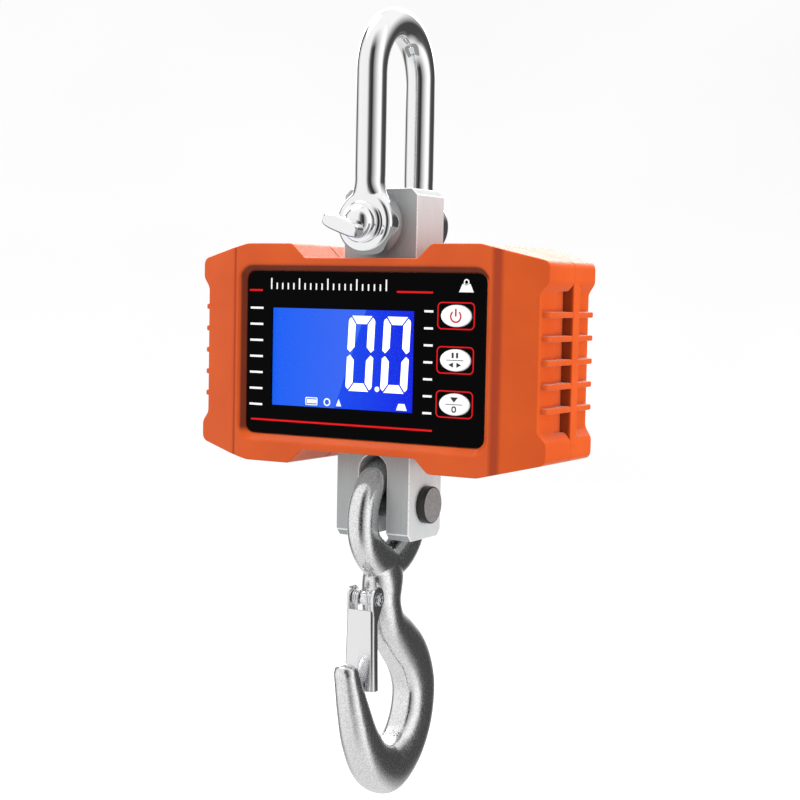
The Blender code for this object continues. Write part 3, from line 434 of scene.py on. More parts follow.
def turned(profile, axis, centre=(0, 0), sides=96):
    """A body of revolution from (distance along the axis, radius) points."""
    circle = [(math.cos(a), math.sin(a)) for a in (2 * math.pi * i / sides for i in range(sides))]
    rings = []
    for along, radius in profile:
        rings.append([spot(axis, centre[0] + radius * c, centre[1] + radius * s, along) for c, s in circle])
    return loft(rings)


def prism(outline, axis, start, end):
    return loft([[spot(axis, u, v, along) for u, v in outline] for along in (start, end)])


def superellipse(half_u, half_v, power, count):
    points = []
    for i in range(count):
        a = 2 * math.pi * i / count
        c, s = math.cos(a), math.sin(a)
        u = math.copysign(abs(c) ** (2 / power), c) * half_u
        v = math.copysign(abs(s) ** (2 / power), s) * half_v
        points.append((u, v))
    return points


def catmull_rom(stations, steps):
    """Stations of any length, with steps smooth points in each span."""
    padded = [stations[0], *stations, stations[-1]]
    smooth = []
    for a, b, c, d in zip(padded, padded[1:], padded[2:], padded[3:]):
        for i in range(steps):
            t = i / steps
            point = []
            for p, q, r, s in zip(a, b, c, d):
                bend = (2 * p - 5 * q + 4 * r - s) * t * t + (3 * q - p - 3 * r + s) * t**3
                point.append(q + ((r - p) * t + bend) / 2)
            smooth.append(tuple(point))
    smooth.append(stations[-1])
    return smooth


def rounded_rectangle(half_u, half_v, radius, centre=(0, 0), steps=8):
    points = []
    for su, sv, start in ((1, 1, 0), (-1, 1, 90), (-1, -1, 180), (1, -1, 270)):
        for i in range(steps + 1):
            a = math.radians(start + 90 * i / steps)
            u = centre[0] + su * (half_u - radius) + radius * math.cos(a)
            v = centre[1] + sv * (half_v - radius) + radius * math.sin(a)
            points.append((u, v))
    return points


def arc(centre, radius, start, end, steps):
    """Points of an arc from one angle to another, in degrees."""
    points = []
    for i in range(steps + 1):
        a = math.radians(start + (end - start) * i / steps)
        points.append((centre[0] + radius * math.cos(a), centre[1] + radius * math.sin(a)))
    return points


def stroke(points, width, closed=False):
    """The outline of a line of that width through the points. A closed line gives its two edges as a ring."""
    left, right = [], []
    count = len(points)
    for i, point in enumerate(points):
        before = Vector(points[i - 1] if i or closed else points[i])
        after = Vector(points[(i + 1) % count] if i < count - 1 or closed else points[i])
        along = (after - before).normalized()
        side = Vector((-along.y, along.x)) * width / 2
        left.append(tuple(Vector(point) + side))
        right.append(tuple(Vector(point) - side))
    if closed:
        return left, right
    return left + right[::-1]


def placed(name, data):
    """A new object in the scene."""
    made = bpy.data.objects.new(name, data)
    bpy.context.scene.collection.objects.link(made)
    return made


def mesh_data(name, mesh):
    """A bmesh as mesh data."""
    data = bpy.data.meshes.new(name)
    mesh.to_mesh(data)
    mesh.free()
    return data


def linked(name, mesh, home, smooth_angle=35):
    """An object from a bmesh in millimetres about a reference point in metres."""
    bmesh.ops.recalc_face_normals(mesh, faces=mesh.faces)
    bmesh.ops.scale(mesh, vec=(MM, MM, MM), verts=mesh.verts)
    bmesh.ops.translate(mesh, vec=home, verts=mesh.verts)
    data = mesh_data(name, mesh)
    data.shade_smooth()
    data.set_sharp_from_angle(angle=math.radians(smooth_angle))
    return placed(name, data)


def merged(meshes):
    """One bmesh that holds the bodies of several."""
    whole = bmesh.new()
    for mesh in meshes:
        data = mesh_data("part", mesh)
        whole.from_mesh(data)
        bpy.data.meshes.remove(data)
    return whole


def settled(piece):
    """Applies the piece's modifiers."""
    graph = bpy.context.evaluated_depsgraph_get()
    data = bpy.data.meshes.new_from_object(piece.evaluated_get(graph))
    piece.modifiers.clear()
    old = piece.data
    piece.data = data
    bpy.data.meshes.remove(old)


def fused(name, meshes, home, voxel, rounds):
    """Overlapping bodies grown into one smooth skin, as a forging or casting has."""
    piece = linked(name, merged(meshes), home)
    remesh = piece.modifiers.new("skin", "REMESH")
    remesh.mode = "VOXEL"
    remesh.voxel_size = voxel * MM
    soften = piece.modifiers.new("soften", "SMOOTH")
    soften.factor = 0.5
    soften.iterations = rounds
    settled(piece)
    piece.data.shade_smooth()
    return piece


def carve(piece, mesh, home, operation="DIFFERENCE"):
    """Cuts a bmesh from the piece, or joins it on."""
    tool = linked("tool", mesh, home)
    modifier = piece.modifiers.new("carve", "BOOLEAN")
    modifier.operation = operation
    modifier.solver = "EXACT"
    modifier.object = tool
    settled(piece)
    bpy.data.objects.remove(tool)


def finish_piece(piece, nodes, slot, body=None, paint=None):
    """Gives the piece its material, the slot's paint unless another is given, parents it to its body, and hides
    the CAD nodes that it stands for.
    """
    piece.data.materials.clear()
    piece.data.materials.append(paint or PAINTS[slot])
    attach(piece, body or BODY_OF[nodes[0]])
    if nodes:
        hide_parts(*nodes)
    return piece


def refined(node, width, segments=3, sharp=32, edge_highlight_paint=None, lit_side_paint=None, cutter=None):
    """A copy of a CAD node's shape with its flat faces made whole and its edges rounded."""
    piece = placed(f"{node}_fine", frame["nodes"][node].data.copy())
    if cutter:
        carve(piece, cutter, CASE)
    mesh = bmesh.new()
    mesh.from_mesh(piece.data)
    bmesh.ops.remove_doubles(mesh, verts=mesh.verts, dist=0.002 * MM)
    bmesh.ops.dissolve_limit(mesh, angle_limit=math.radians(0.6), verts=mesh.verts, edges=mesh.edges)
    weight = mesh.edges.layers.float.new("bevel_weight_edge")
    for edge in mesh.edges:
        if len(edge.link_faces) == 2 and edge.calc_face_angle() > math.radians(sharp):
            parting = all(abs(vert.co.y - SHELL_HIGH.y) < 0.05 * MM for vert in edge.verts)
            edge[weight] = 0.2 if parting else 1.0
    data = piece.data
    mesh.to_mesh(data)
    mesh.free()
    data.shade_smooth()
    bevel = piece.modifiers.new("edges", "BEVEL")
    bevel.width = width * MM
    bevel.segments = segments
    bevel.limit_method = "WEIGHT"
    bevel.use_clamp_overlap = False
    level = piece.modifiers.new("level", "WEIGHTED_NORMAL")
    level.weight = 100
    finish_piece(piece, [node], SLOT_OF[node])
    # The rounded edges may take a paler paint: a painted highlight
    if edge_highlight_paint:
        data.materials.append(edge_highlight_paint)
        bevel.material = 1
    # Faces that look left or right may take a paler paint: painted light on the sides
    if lit_side_paint:
        data.materials.append(lit_side_paint)
        for face in data.polygons:
            face.material_index = 2 if abs(face.normal.x) > 0.9 else 0
    return piece


# ---------------------------------------------------------------- shackle and its pin

BOW_ROD_R = 5.7
BOW_LEG_Y = 18.1
BOW_CROWN_R = 6.1
BOW_CROWN_RISE = 20.0
EYE_R = 11.9
EYE_RIM = 2.6
EYE_Y = (12.5, 23.2)
PIN_R = 6.0
RUNNING_GAP = 0.3


def swept(stations, sides):
    """A body along stations (y, z, half depth, half thickness) in the Y-Z plane."""
    rings = []
    for i, (y, z, depth, thickness) in enumerate(stations):
        before = stations[max(i - 1, 0)]
        after = stations[min(i + 1, len(stations) - 1)]
        along = Vector((0, after[0] - before[0], after[1] - before[1])).normalized()
        across = Vector((0, along.z, -along.y))
        section = superellipse(thickness, depth, 2, sides)
        rings.append([Vector((u, y, z)) + across * v for u, v in section])
    return loft(rings)


def build_shackle():
    crown_z = SHACKLE_PIN.z / -MM + BOW_CROWN_R - BOW_CROWN_RISE
    flare = [(2.0, 10.0), (6.0, 9.8), (8.5, 8.5), (11.0, 6.8), (14.5, BOW_ROD_R), (18, BOW_ROD_R)]
    front = []
    for z, width in catmull_rom(flare, 6):
        depth = 5.2 + 0.5 * ramp(z, 8, 13)
        front.append((-BOW_LEG_Y, z, depth, width))
    crown = []
    for i in range(61):
        a = math.pi * i / 60
        radius = BOW_ROD_R + (BOW_CROWN_R - BOW_ROD_R) * math.sin(a)
        crown.append((-BOW_LEG_Y * math.cos(a), crown_z + BOW_CROWN_RISE * math.sin(a), radius, radius))
    rear = [(-y, z, depth, width) for y, z, depth, width in reversed(front)]
    bodies = [swept(front + crown + rear, 64)]
    low, high = EYE_Y
    rim = [(EYE_RIM * (1 - math.cos(a)), EYE_R - EYE_RIM * (1 - math.sin(a))) for a in quarter()]
    eye = [(low + deep, radius) for deep, radius in rim]
    eye += [(high - deep, radius) for deep, radius in reversed(rim)]
    for side in (-1, 1):
        bodies.append(turned([(side * y, radius) for y, radius in eye], "Y"))
    bow = fused("shackle_bow_fine", bodies, SHACKLE_PIN, 0.36, 12)
    carve(bow, turned([(-30, PIN_R + RUNNING_GAP), (30, PIN_R + RUNNING_GAP)], "Y"), SHACKLE_PIN)
    bow.data.shade_smooth()
    bow.data.set_sharp_from_angle(angle=math.radians(50))
    finish_piece(bow, ["shackle_bow"], "polished_steel")


def build_shackle_pin():
    low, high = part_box("shackle_pin")
    back = 23.5
    profile = [
        (high.y / MM, PIN_R - 1.0),
        (high.y / MM - 1.0, PIN_R),
        (-back + 0.02, PIN_R),
        (-back, PIN_R + 0.02),
        (-back, 7.3),
        (-back - 0.3, 7.6),
        (-back - 1.5, 7.6),
        (-back - 1.9, 7.2),
        (-back - 1.9, 6.5),
        (-back - 1.9, 6.2),
        (-back - 2.7, 6.1),
        (-back - 2.9, 5.9),
    ]
    for a in quarter(10)[1:-1]:
        profile.append((-back - 2.9 - 3.6 * math.sin(a), 5.7 * math.cos(a)))
    pin = linked("shackle_pin_fine", turned(profile, "Y"), SHACKLE_PIN, 28)
    end = -low.y / MM
    shape = [
        (25.0, 0.40, 1.0, 2.0),
        (28.5, 0.45, 1.02, 2.2),
        (31.0, 0.60, 1.02, 2.5),
        (33.0, 0.86, 1.0, 3.0),
        (34.6, 1.0, 1.0, 3.4),
        (end - 0.9, 1.0, 1.0, 3.6),
        (end - 0.35, 0.98, 0.93, 3.6),
        (end, 0.93, 0.78, 3.6),
    ]
    turn = Matrix.Rotation(math.radians(20), 3, "Y")
    rings = []
    for y, width, thickness, power in catmull_rom(shape[:6], 6)[:-1] + shape[5:]:
        section = superellipse(7.8 * width, 2.75 * thickness, power, 96)
        rings.append([turn @ Vector((u, -y, v)) + Vector((0, 0, -1.8)) for u, v in section])
    carve(pin, loft(rings), SHACKLE_PIN, "UNION")
    pin.data.shade_smooth()
    pin.data.set_sharp_from_angle(angle=math.radians(32))
    finish_piece(pin, ["shackle_pin"], "polished_steel")


# ---------------------------------------------------------------- case, load cell and fixings


PANEL_CORNER_R = 3.5
# The rim from the panel outwards: (distance behind the panel's face, distance past the panel's edge)
RIM_PROFILE = (
    (0.5, 0.2),
    (0.1, 0.2),
    (-1.55, 2.05),
    (-1.95, 2.4),
    (-2.2, 2.75),
    (-2.35, 3.15),
    (-2.42, 3.6),
    (-3.4, 6.0),
)
GROOVE_PITCH = 2.6
GROOVE_DEPTH = 0.45


def panel_rim():
    """The cutter for the soft rim that leads down to the front panel."""
    low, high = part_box("fascia_panel")
    half_x, half_z = (high.x - low.x) / 2 / MM, (high.z - low.z) / 2 / MM
    rings = []
    for y, grow in RIM_PROFILE:
        outline = rounded_rectangle(half_x + grow, half_z + grow, PANEL_CORNER_R + grow)
        rings.append([spot("Y", x, z, PANEL_FRONT + y) for x, z in outline])
    return loft(rings)


def cover_grooves():
    """The cutter for the finger grooves across the battery cover."""
    low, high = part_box("battery_cover")
    middle, face = (low.x + high.x) / 2 / MM, high.y / MM
    grooves = []
    for i in range(-3, 4):
        outline = rounded_rectangle(9.0, 0.7, 0.69, (middle, GROOVE_PITCH * i))
        grooves.append(prism(outline, "Y", face - GROOVE_DEPTH, face + 1))
    return merged(grooves)


def build_case():
    refined("front_shell", 0.5, cutter=panel_rim())
    refined("rear_shell", 0.55)
    refined("load_cell", 0.35, 2, edge_highlight_paint=cell_edge_highlight(), lit_side_paint=cell_lit_side())
    refined("battery_cover", 0.18, 2, cutter=cover_grooves())


def build_hook_pin():
    low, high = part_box("hook_pin")
    face = high.x / MM
    radius = (high.z - low.z) / 2 / MM
    head = face - 3.2
    profile = [
        (low.x / MM, PIN_R - 0.8),
        (low.x / MM + 0.8, PIN_R),
        (head, PIN_R),
        (head, radius - 0.2),
        (head + 0.2, radius),
        (face - 0.5, radius),
        (face - 0.25, radius - 0.08),
        (face - 0.06, radius - 0.28),
        (face, radius - 0.5),
        (face, radius - 0.7),
        (face, 1.0),
    ]
    pin = linked("hook_pin_fine", turned(profile, "X"), HOOK_PIN, 28)
    finish_piece(pin, ["hook_pin"], "black_oxide")
    pin.data.materials.append(oxide_face())
    for polygon in pin.data.polygons:
        polygon.material_index = int(polygon.center.x > high.x - 0.1 * MM and polygon.normal.x > 0.99)


# ---------------------------------------------------------------- hook, latch and spring

EYE_HOLE_R = 12.0
EYE_CENTRE = (-0.5, PIN_R + RUNNING_GAP - EYE_HOLE_R)
EYE_VEE = math.radians(57)
HOOK_STATIONS = (
    (-2.0, -22.5, 8.0, 5.2),
    (-3.0, -27.5, 10.2, 6.7),
    (-4.0, -32.5, 9.2, 7.3),
    (-4.4, -37.5, 8.3, 7.3),
    (-3.0, -43.0, 7.8, 7.5),
    (0.6, -48.6, 8.2, 7.4),
    (8.2, -55.2, 9.2, 7.2),
    (16.0, -62.8, 9.8, 7.2),
    (20.8, -71.5, 10.0, 7.2),
    (22.1, -79.5, 10.1, 7.2),
    (19.6, -90.0, 10.2, 7.3),
    (12.5, -99.4, 10.3, 7.4),
    (1.6, -104.5, 10.2, 7.4),
    (-9.6, -99.9, 9.2, 7.1),
    (-18.0, -89.3, 7.6, 6.6),
    (-23.4, -77.0, 6.1, 5.8),
    (-27.0, -66.8, 4.9, 5.0),
    (-29.3, -60.4, 4.0, 4.5),
)
RIVET_R = 1.6
LATCH_EAR_R = 2.9
LATCH_HALF_X = 5.9
LATCH_TIP_HALF_X = 6.7
LATCH_SHEET = 1.0
LATCH_FRONT = -4.3
SPRING_R = 2.55
SPRING_TURNS = 2.25
SPRING_START_X = 2.2
SPRING_WIDTH = 2.1


def hook_section(half_thickness, half_depth, flat, count=72):
    """A forged section: full and round outside, and flattened by that share down the inside."""
    section = []
    for u, v in superellipse(half_thickness, half_depth, 2.0 + 6 * flat, count):
        section.append((u, min(v, (1 - flat) * half_depth)))
    return section


def hook_body():
    stations = catmull_rom(HOOK_STATIONS, 8)
    rings = []
    for i, (y, z, depth, thickness) in enumerate(stations):
        before = stations[max(i - 1, 0)]
        after = stations[min(i + 1, len(stations) - 1)]
        along = Vector((0, after[0] - before[0], after[1] - before[1])).normalized()
        inward = Vector((0, along.z, -along.y))
        flat = 0.07 * ramp(i, 36, 52)
        rings.append([Vector((u, y, z)) + inward * v for u, v in hook_section(thickness, depth, flat)])
    return loft(rings)


def eye_ring(steps=96, sides=40):
    rings = []
    for i in range(steps):
        a = 2 * math.pi * i / steps
        from_bottom = abs(math.remainder(a + math.pi / 2, 2 * math.pi))
        outward = Vector((0, math.cos(a), math.sin(a)))
        depth = 6.5 - 0.9 * max(0.0, math.sin(a)) ** 2
        inner = EYE_HOLE_R * math.sin(EYE_VEE) / math.sin(EYE_VEE + min(from_bottom, math.pi - 2 * EYE_VEE))
        outer = EYE_HOLE_R + 2 * depth
        centre = Vector((0, *EYE_CENTRE)) + outward * (inner + outer) / 2
        section = superellipse(5.4, (outer - inner) / 2, 2.3, sides)
        rings.append([centre + Vector((u, 0, 0)) + outward * v for u, v in section])
    return loft(rings, closed=True)


def build_hook():
    y, z, depth, thickness = HOOK_STATIONS[-1]
    cap = bmesh.new()
    bmesh.ops.create_uvsphere(cap, u_segments=48, v_segments=32, radius=1.0)
    bmesh.ops.scale(cap, vec=(thickness * 0.97, depth * 0.97, 2.6), verts=cap.verts)
    bmesh.ops.translate(cap, vec=(0, y, z), verts=cap.verts)
    y, z = ((LATCH_PIN - HOOK_PIN) / MM).yz
    lug = [(-2.3, -1.2), (-0.6, -2.5), (6, -4), (6, 2.2), (0.4, 2.5), (-1.7, 1.9)]
    lug = prism([(y + u, z + v) for u, v in lug], "X", -1.7, 1.7)
    hook = fused("hook_fine", [hook_body(), eye_ring(), cap, lug], HOOK_PIN, 0.42, 9)
    hole = RIVET_R + RUNNING_GAP
    carve(hook, turned([(-5, hole), (5, hole)], "X", (y, z), 48), HOOK_PIN)
    room = LATCH_HALF_X - LATCH_SHEET - 0.5
    radius = LATCH_EAR_R + 0.9
    for side in (-1, 1):
        carve(hook, turned([(side * room, radius), (side * 20, radius)], "X", (y, z), 64), HOOK_PIN)
    hook.data.shade_smooth()
    hook.data.set_sharp_from_angle(angle=math.radians(50))
    finish_piece(hook, ["hook"], "forged_zinc")


def latch_section(outer):
    """The pressed channel across: a front plate with round bends and a flange on each side."""
    back, inner = -0.9, outer - LATCH_SHEET
    right = [(inner, back), (outer, back)]
    right += arc((outer - 1.5, LATCH_FRONT + 1.5), 1.5, 0, -90, 6)
    left = [(-x, y) for x, y in reversed(right)]
    under = arc((inner - 0.6, LATCH_FRONT + LATCH_SHEET + 0.6), 0.6, -90, 0, 4)
    return right + left + [(-x, y) for x, y in reversed(under)] + under


def build_latch():
    low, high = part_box("hook_latch")
    bottom = (low.z - LATCH_PIN.z) / MM
    rings = []
    for z, share in ((bottom, 1.0), (-3.9, 0.0)):
        outer = LATCH_HALF_X + (LATCH_TIP_HALF_X - LATCH_HALF_X) * share
        rings.append([Vector((x, y, z)) for x, y in latch_section(outer)])
    latch = linked("hook_latch_fine", loft(rings), LATCH_PIN, 30)
    ear = [(-4.2, -3.0), (-2.9, -8.0), (-0.9, -9.0), (1.4, -5.0), (3.2, -1.6), (3.5, 0.6)]
    ear += [(-0.3 + 3.9 * u, 0.6 + 4.1 * v) for u, v in arc((0, 0), 1, 15, 180, 24)]
    for side in (-1, 1):
        ends = sorted((side * (LATCH_HALF_X - LATCH_SHEET), side * (LATCH_HALF_X - 0.01)))
        carve(latch, prism(ear, "X", *ends), LATCH_PIN, "UNION")
    hole = RIVET_R + RUNNING_GAP
    carve(latch, turned([(-20, hole), (20, hole)], "X", sides=48), LATCH_PIN)
    bevel = latch.modifiers.new("edges", "BEVEL")
    bevel.width = 0.18 * MM
    bevel.segments = 2
    bevel.limit_method = "ANGLE"
    bevel.angle_limit = math.radians(40)
    settled(latch)
    latch.data.shade_smooth()
    latch.data.set_sharp_from_angle(angle=math.radians(32))
    finish_piece(latch, ["hook_latch"], "latch_zinc")


def build_latch_spring():
    """A coil of bright wire on each side of the lug. Its leg turns with the latch that it presses on."""
    coils, legs = [], []
    steps = 60
    for side in (-1, 1):
        path = []
        for i in range(steps + 1):
            a = math.pi - 2 * math.pi * SPRING_TURNS * i / steps
            x = side * (SPRING_START_X + SPRING_WIDTH * i / steps)
            path.append((x, SPRING_R * math.cos(a), SPRING_R * math.sin(a)))
        coils.append(wire(path, 0.44))
        x = side * SPRING_START_X
        legs.append(wire([(x, -2.7, -9.2), (x, -2.7, -5.0), (x, -SPRING_R, 0.0)], 0.40))
    spring = linked("latch_spring_fine", merged(coils), LATCH_PIN, 60)
    finish_piece(spring, ["latch_spring"], "screw_steel", paint=PAINTS["polished_steel"])
    ends = linked("latch_spring_legs", merged(legs), LATCH_PIN, 60)
    finish_piece(ends, [], "screw_steel", "latch", PAINTS["polished_steel"])


def wire(path, radius, sides=10):
    """A round wire along points, its section carried along without twisting."""
    points = [Vector(point) for point in path]
    up = Vector((1, 0, 0))
    rings = []
    for i, point in enumerate(points):
        along = (points[min(i + 1, len(points) - 1)] - points[max(i - 1, 0)]).normalized()
        side = along.cross(up).normalized()
        up = side.cross(along)
        ring = []
        for k in range(sides):
            a = 2 * math.pi * k / sides
            ring.append(point + side * radius * math.cos(a) + up * radius * math.sin(a))
        rings.append(ring)
    return loft(rings)


def build_rivet():
    """A peened rivet with a dimple in each head."""
    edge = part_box("latch_rivet")[1].x / MM
    half = [(edge - 0.95, RIVET_R), (edge - 0.9, 2.3), (edge - 0.55, 2.4), (edge - 0.2, 2.2), (edge, 1.8)]
    half += [(edge, 1.5), (edge - 0.35, 1.35), (edge - 0.35, 0.9), (edge - 0.12, 0.6), (edge - 0.1, 0.1)]
    profile = [(-x, r) for x, r in reversed(half)] + half
    rivet = linked("latch_rivet_fine", turned(profile, "X", sides=48), LATCH_PIN, 25)
    finish_piece(rivet, ["latch_rivet"], "screw_steel")


# ---------------------------------------------------------------- display and print

PRINT_DEPTH = 0.05
DIGIT_WIDTH = 11.1
DIGIT_HEIGHT = 27.8
DIGIT_STROKE = 2.7
DIGIT_SLANT = 0.045
BUTTON_X = 39.7
BUTTON_PITCH = 15.9


def printed(name, outlines, paint, front, body="scale", slot="panel_black", rings=()):
    """Flat marks a hair proud of a surface: outlines, and (outer, inner) rings, in the case's frame."""
    bodies = [prism(outline, "Y", front - PRINT_DEPTH, front + PRINT_DEPTH) for outline in outlines]
    for outer, inner in rings:
        edges = []
        for outline, along in ((outer, 1), (inner, 1), (inner, -1), (outer, -1)):
            edges.append([spot("Y", u, v, front + along * PRINT_DEPTH) for u, v in outline])
        bodies.append(loft(edges, closed=True))
    piece = linked(name, merged(bodies), CASE)
    return finish_piece(piece, [], slot, body, paint)


def bar(x, z, thickness):
    """A straight level mark between two x values."""
    low, high = z - thickness / 2, z + thickness / 2
    return [(x[0], low), (x[1], low), (x[1], high), (x[0], high)]


def zero_digit(left, bottom):
    """The six lit segments of a seven-segment zero, leaning to the right."""
    w, h, t = DIGIT_WIDTH, DIGIT_HEIGHT / 2, DIGIT_STROKE
    level = [(1.35, h), (w - 1.35, h), (w - t - 0.85, h - t), (t + 0.85, h - t)]
    upright = [(0, 1.5), (0, h - 1.9), (0.25, h - 1.2), (0.8, h - 0.6)]
    upright += [(t, h - t - 0.35), (t, 2.5), (1.0, 0.7)]
    segments = []
    for flip in (-1, 1):
        segments.append([(x, flip * z) for x, z in level])
        segments.append([(x, flip * z) for x, z in upright])
        segments.append([(w - x, flip * z) for x, z in upright])
    middle = bottom + h
    return [[(left + x + DIGIT_SLANT * z, middle + z) for x, z in segment] for segment in segments]


def annulus(centre, outer, inner):
    """The two edges of a round ring."""
    return arc(centre, outer, 0, 345, 23), arc(centre, inner, 0, 345, 23)


def build_lcd_marks():
    """Two zeros, a point, and plain signs in the lowest row: a battery, a ring, a triangle and a weight."""
    front = LCD_LOW.y / MM - 0.08
    digits = zero_digit(-6.75, -13.0) + zero_digit(8.45, -13.0)
    signs = [arc((6.3, -12.0), 1.0, 0, 345, 23)]
    signs += [bar((-24.6, -20.6), -17.9, 1.5), bar((-20.4, -20.0), -17.9, 0.9)]
    signs.append([(-11.6, -19.2), (-9.2, -19.2), (-10.4, -16.5)])
    signs.append([(14.6, -19.4), (19.2, -19.4), (18.2, -16.9), (15.6, -16.9)])
    ring = annulus((-15.6, -17.9), 1.5, 1.0)
    middle = (-22.6, -17.9)
    battery = (rounded_rectangle(2.7, 1.5, 0.4, middle, 3), rounded_rectangle(2.35, 1.15, 0.2, middle, 3))
    lilac = glow("lcd_lilac", (0.72, 0.76, 0.99), 0.70)
    white = glow("lcd_white", (1.0, 1.0, 1.0), 0.85)
    printed("lcd_marks", digits + signs, lilac, front, slot="lcd_blue", rings=[ring, battery])
    edges = [stroke(segment, 0.32, closed=True) for segment in digits]
    printed("lcd_edges", [], white, front - 0.03, slot="lcd_blue", rings=edges)


def build_panel_print():
    """Scale marks, a weight sign, and red lines and frames, in place of the label's words."""
    white, red = [], []
    for i in range(7):
        white.append(bar((-50.3, -44.3), 17.0 - 6.18 * i, 0.8))
        white.append(bar((26.6, 30.3), 17.3 - 6.15 * i, 0.8))
    for i in range(21):
        height = 4.2 if i % 5 == 0 else 2.4
        x = -40.6 + 2.55 * i
        white.append([(x - 0.3, 24.3), (x + 0.3, 24.3), (x + 0.3, 24.3 + height), (x - 0.3, 24.3 + height)])
    white.append([(40.6, 24.4), (46.6, 24.4), (45.2, 27.4), (42.0, 27.4)])
    handle = annulus((43.6, 28.0), 1.15, 0.65)
    paint = ink("print_white", (0.90, 0.90, 0.90), 0.1)
    printed("panel_print_white", white, paint, PANEL_FRONT, rings=[handle])
    red += [bar((-50.8, -44.7), 23.8, 0.7), bar((14.9, 30.0), 24.1, 0.7), bar((-49.5, 30.7), -25.9, 0.7)]
    frames = []
    for i in (-1, 0, 1):
        centre = (39.6, i * BUTTON_PITCH)
        frames.append((rounded_rectangle(7.6, 4.95, 1.8, centre), rounded_rectangle(7.15, 4.5, 1.4, centre)))
    printed("panel_print_red", red, ink("print_red", (0.66, 0.001, 0.004), 0.2), PANEL_FRONT, rings=frames)


def build_buttons():
    dark = ink("cap_print_dark", (0.03, 0.03, 0.03))
    red = ink("cap_print_red", (0.46, 0.003, 0.008), 0.1)
    for name, i in (("power", 1), ("hold", 0), ("zero", -1)):
        low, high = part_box(f"{name}_button")
        front, back = low.y / MM, high.y / MM
        half_x, half_z = (high.x - low.x) / 2 / MM, (high.z - low.z) / 2 / MM
        z = i * BUTTON_PITCH
        profile = [(front, 0.02), (front, 0.86)]
        profile += [(front + 0.35 * (1 - math.cos(a)), 0.86 + 0.14 * math.sin(a)) for a in quarter()[1:]]
        profile.append((back, 1.0))
        rings = []
        for y, share in profile:
            outline = superellipse(half_x * share, half_z * share, 2, 96)
            rings.append([Vector((BUTTON_X + u, y, z + v)) for u, v in outline])
        cap = linked(f"{name}_button_fine", loft(rings), CASE, 40)
        finish_piece(cap, [f"{name}_button"], "button_white")
        marks, rings = [], []
        x = BUTTON_X
        if name == "power":
            marks.append(stroke(arc((x, z - 0.2), 2.05, 130, 410, 30), 0.55))
            marks.append(stroke([(x, z + 2.6), (x, z - 0.2)], 0.6))
        elif name == "hold":
            marks += [stroke([(x + s, z + 2.7), (x + s, z + 0.8)], 0.8) for s in (-0.9, 0.9)]
            marks.append(bar((x - 3.4, x + 3.4), z, 0.22))
            marks += [[(x - 2.6, z - 1.7), (x - 0.7, z - 0.8), (x - 0.7, z - 2.6)]]
            marks += [[(x + 2.6, z - 1.7), (x + 0.7, z - 2.6), (x + 0.7, z - 0.8)]]
        else:
            marks.append([(x - 1.6, z + 2.6), (x + 1.6, z + 2.6), (x, z + 0.8)])
            marks.append(bar((x - 3.4, x + 3.4), z, 0.22))
            zero = superellipse(0.95, 1.15, 2.6, 24)
            hole = superellipse(0.5, 0.7, 2.4, 24)
            rings.append(([(x + u, z - 1.75 + v) for u, v in zero], [(x + u, z - 1.75 + v) for u, v in hole]))
        paint = red if name == "power" else dark
        printed(f"{name}_button_print", marks, paint, front, f"{name}_button", "button_white", rings)


# ---------------------------------------------------------------- studio

CAMERA_YAW = math.radians(30.19)
CAMERA_PITCH = math.radians(3.836)
CAMERA_ROLL = math.radians(1.113)
CAMERA_TARGET = Vector((0.00406, 0.0, -0.13591))
CAMERA_DISTANCE = 0.6119
FLOOR_Z = -0.42

# The ring of cards that only reflections see: brightness at angles from the camera's side
CARDS = (
    (-180, 0.75),
    (-150, 0.70),
    (-138, 0.12),
    (-126, 0.08),
    (-112, 0.70),
    (-100, 0.92),
    (-34, 0.88),
    (-25, 0.50),
    (-17, 0.12),
    (-3, 0.03),
    (6, 0.04),
    (14, 0.26),
    (24, 0.45),
    (46, 0.90),
    (58, 1.05),
    (74, 1.05),
    (84, 0.45),
    (92, 0.10),
    (110, 0.06),
    (136, 0.06),
    (150, 0.20),
    (164, 0.70),
    (180, 0.75),
)
TENT_TOP = 0.95
TENT_BACK = 4.0
TENT_PATCH = 5.0
TENT_BASE = 0.75


def build_camera():
    back = Vector(
        (
            math.sin(CAMERA_YAW) * math.cos(CAMERA_PITCH),
            -math.cos(CAMERA_YAW) * math.cos(CAMERA_PITCH),
            math.sin(CAMERA_PITCH),
        )
    )
    right = Vector((math.cos(CAMERA_YAW), math.sin(CAMERA_YAW), 0))
    up = back.cross(right)
    c, s = math.cos(CAMERA_ROLL), math.sin(CAMERA_ROLL)
    turn = Matrix((right * c + up * s, up * c - right * s, back)).transposed()
    data = bpy.data.cameras.new("camera")
    data.sensor_width = 36.0
    data.lens = 72.03
    data.clip_start = 0.01
    camera = placed("camera", data)
    camera.matrix_world = Matrix.Translation(CAMERA_TARGET + back * CAMERA_DISTANCE) @ turn.to_4x4()
    bpy.context.scene.camera = camera


def build_floor():
    """A pale floor that curves up into a wall all round, so that it shows no horizon."""
    profile = [(0.05, 0.0), (1.0, 0.0), (2.2, 0.0)]
    profile += [(2.2 + 1.3 * math.sin(a), 1.3 * (1 - math.cos(a))) for a in quarter(16)[1:]]
    profile += [(3.5, 2.5), (3.5, 4.5)]
    mesh = bmesh.new()
    rows = []
    for radius, z in profile:
        row = []
        for i in range(96):
            a = 2 * math.pi * i / 96
            row.append(mesh.verts.new((radius * math.cos(a), radius * math.sin(a), FLOOR_Z + z)))
        rows.append(row)
    mesh.faces.new(rows[0])
    for row, following in zip(rows, rows[1:]):
        for i in range(96):
            j = (i + 1) % 96
            mesh.faces.new((row[i], row[j], following[j], following[i]))
    data = mesh_data("floor", mesh)
    data.shade_smooth()
    floor = placed("floor", data)
    data.materials.append(plain_floor())
    floor.visible_diffuse = False
    floor.visible_glossy = False
    floor.visible_shadow = False


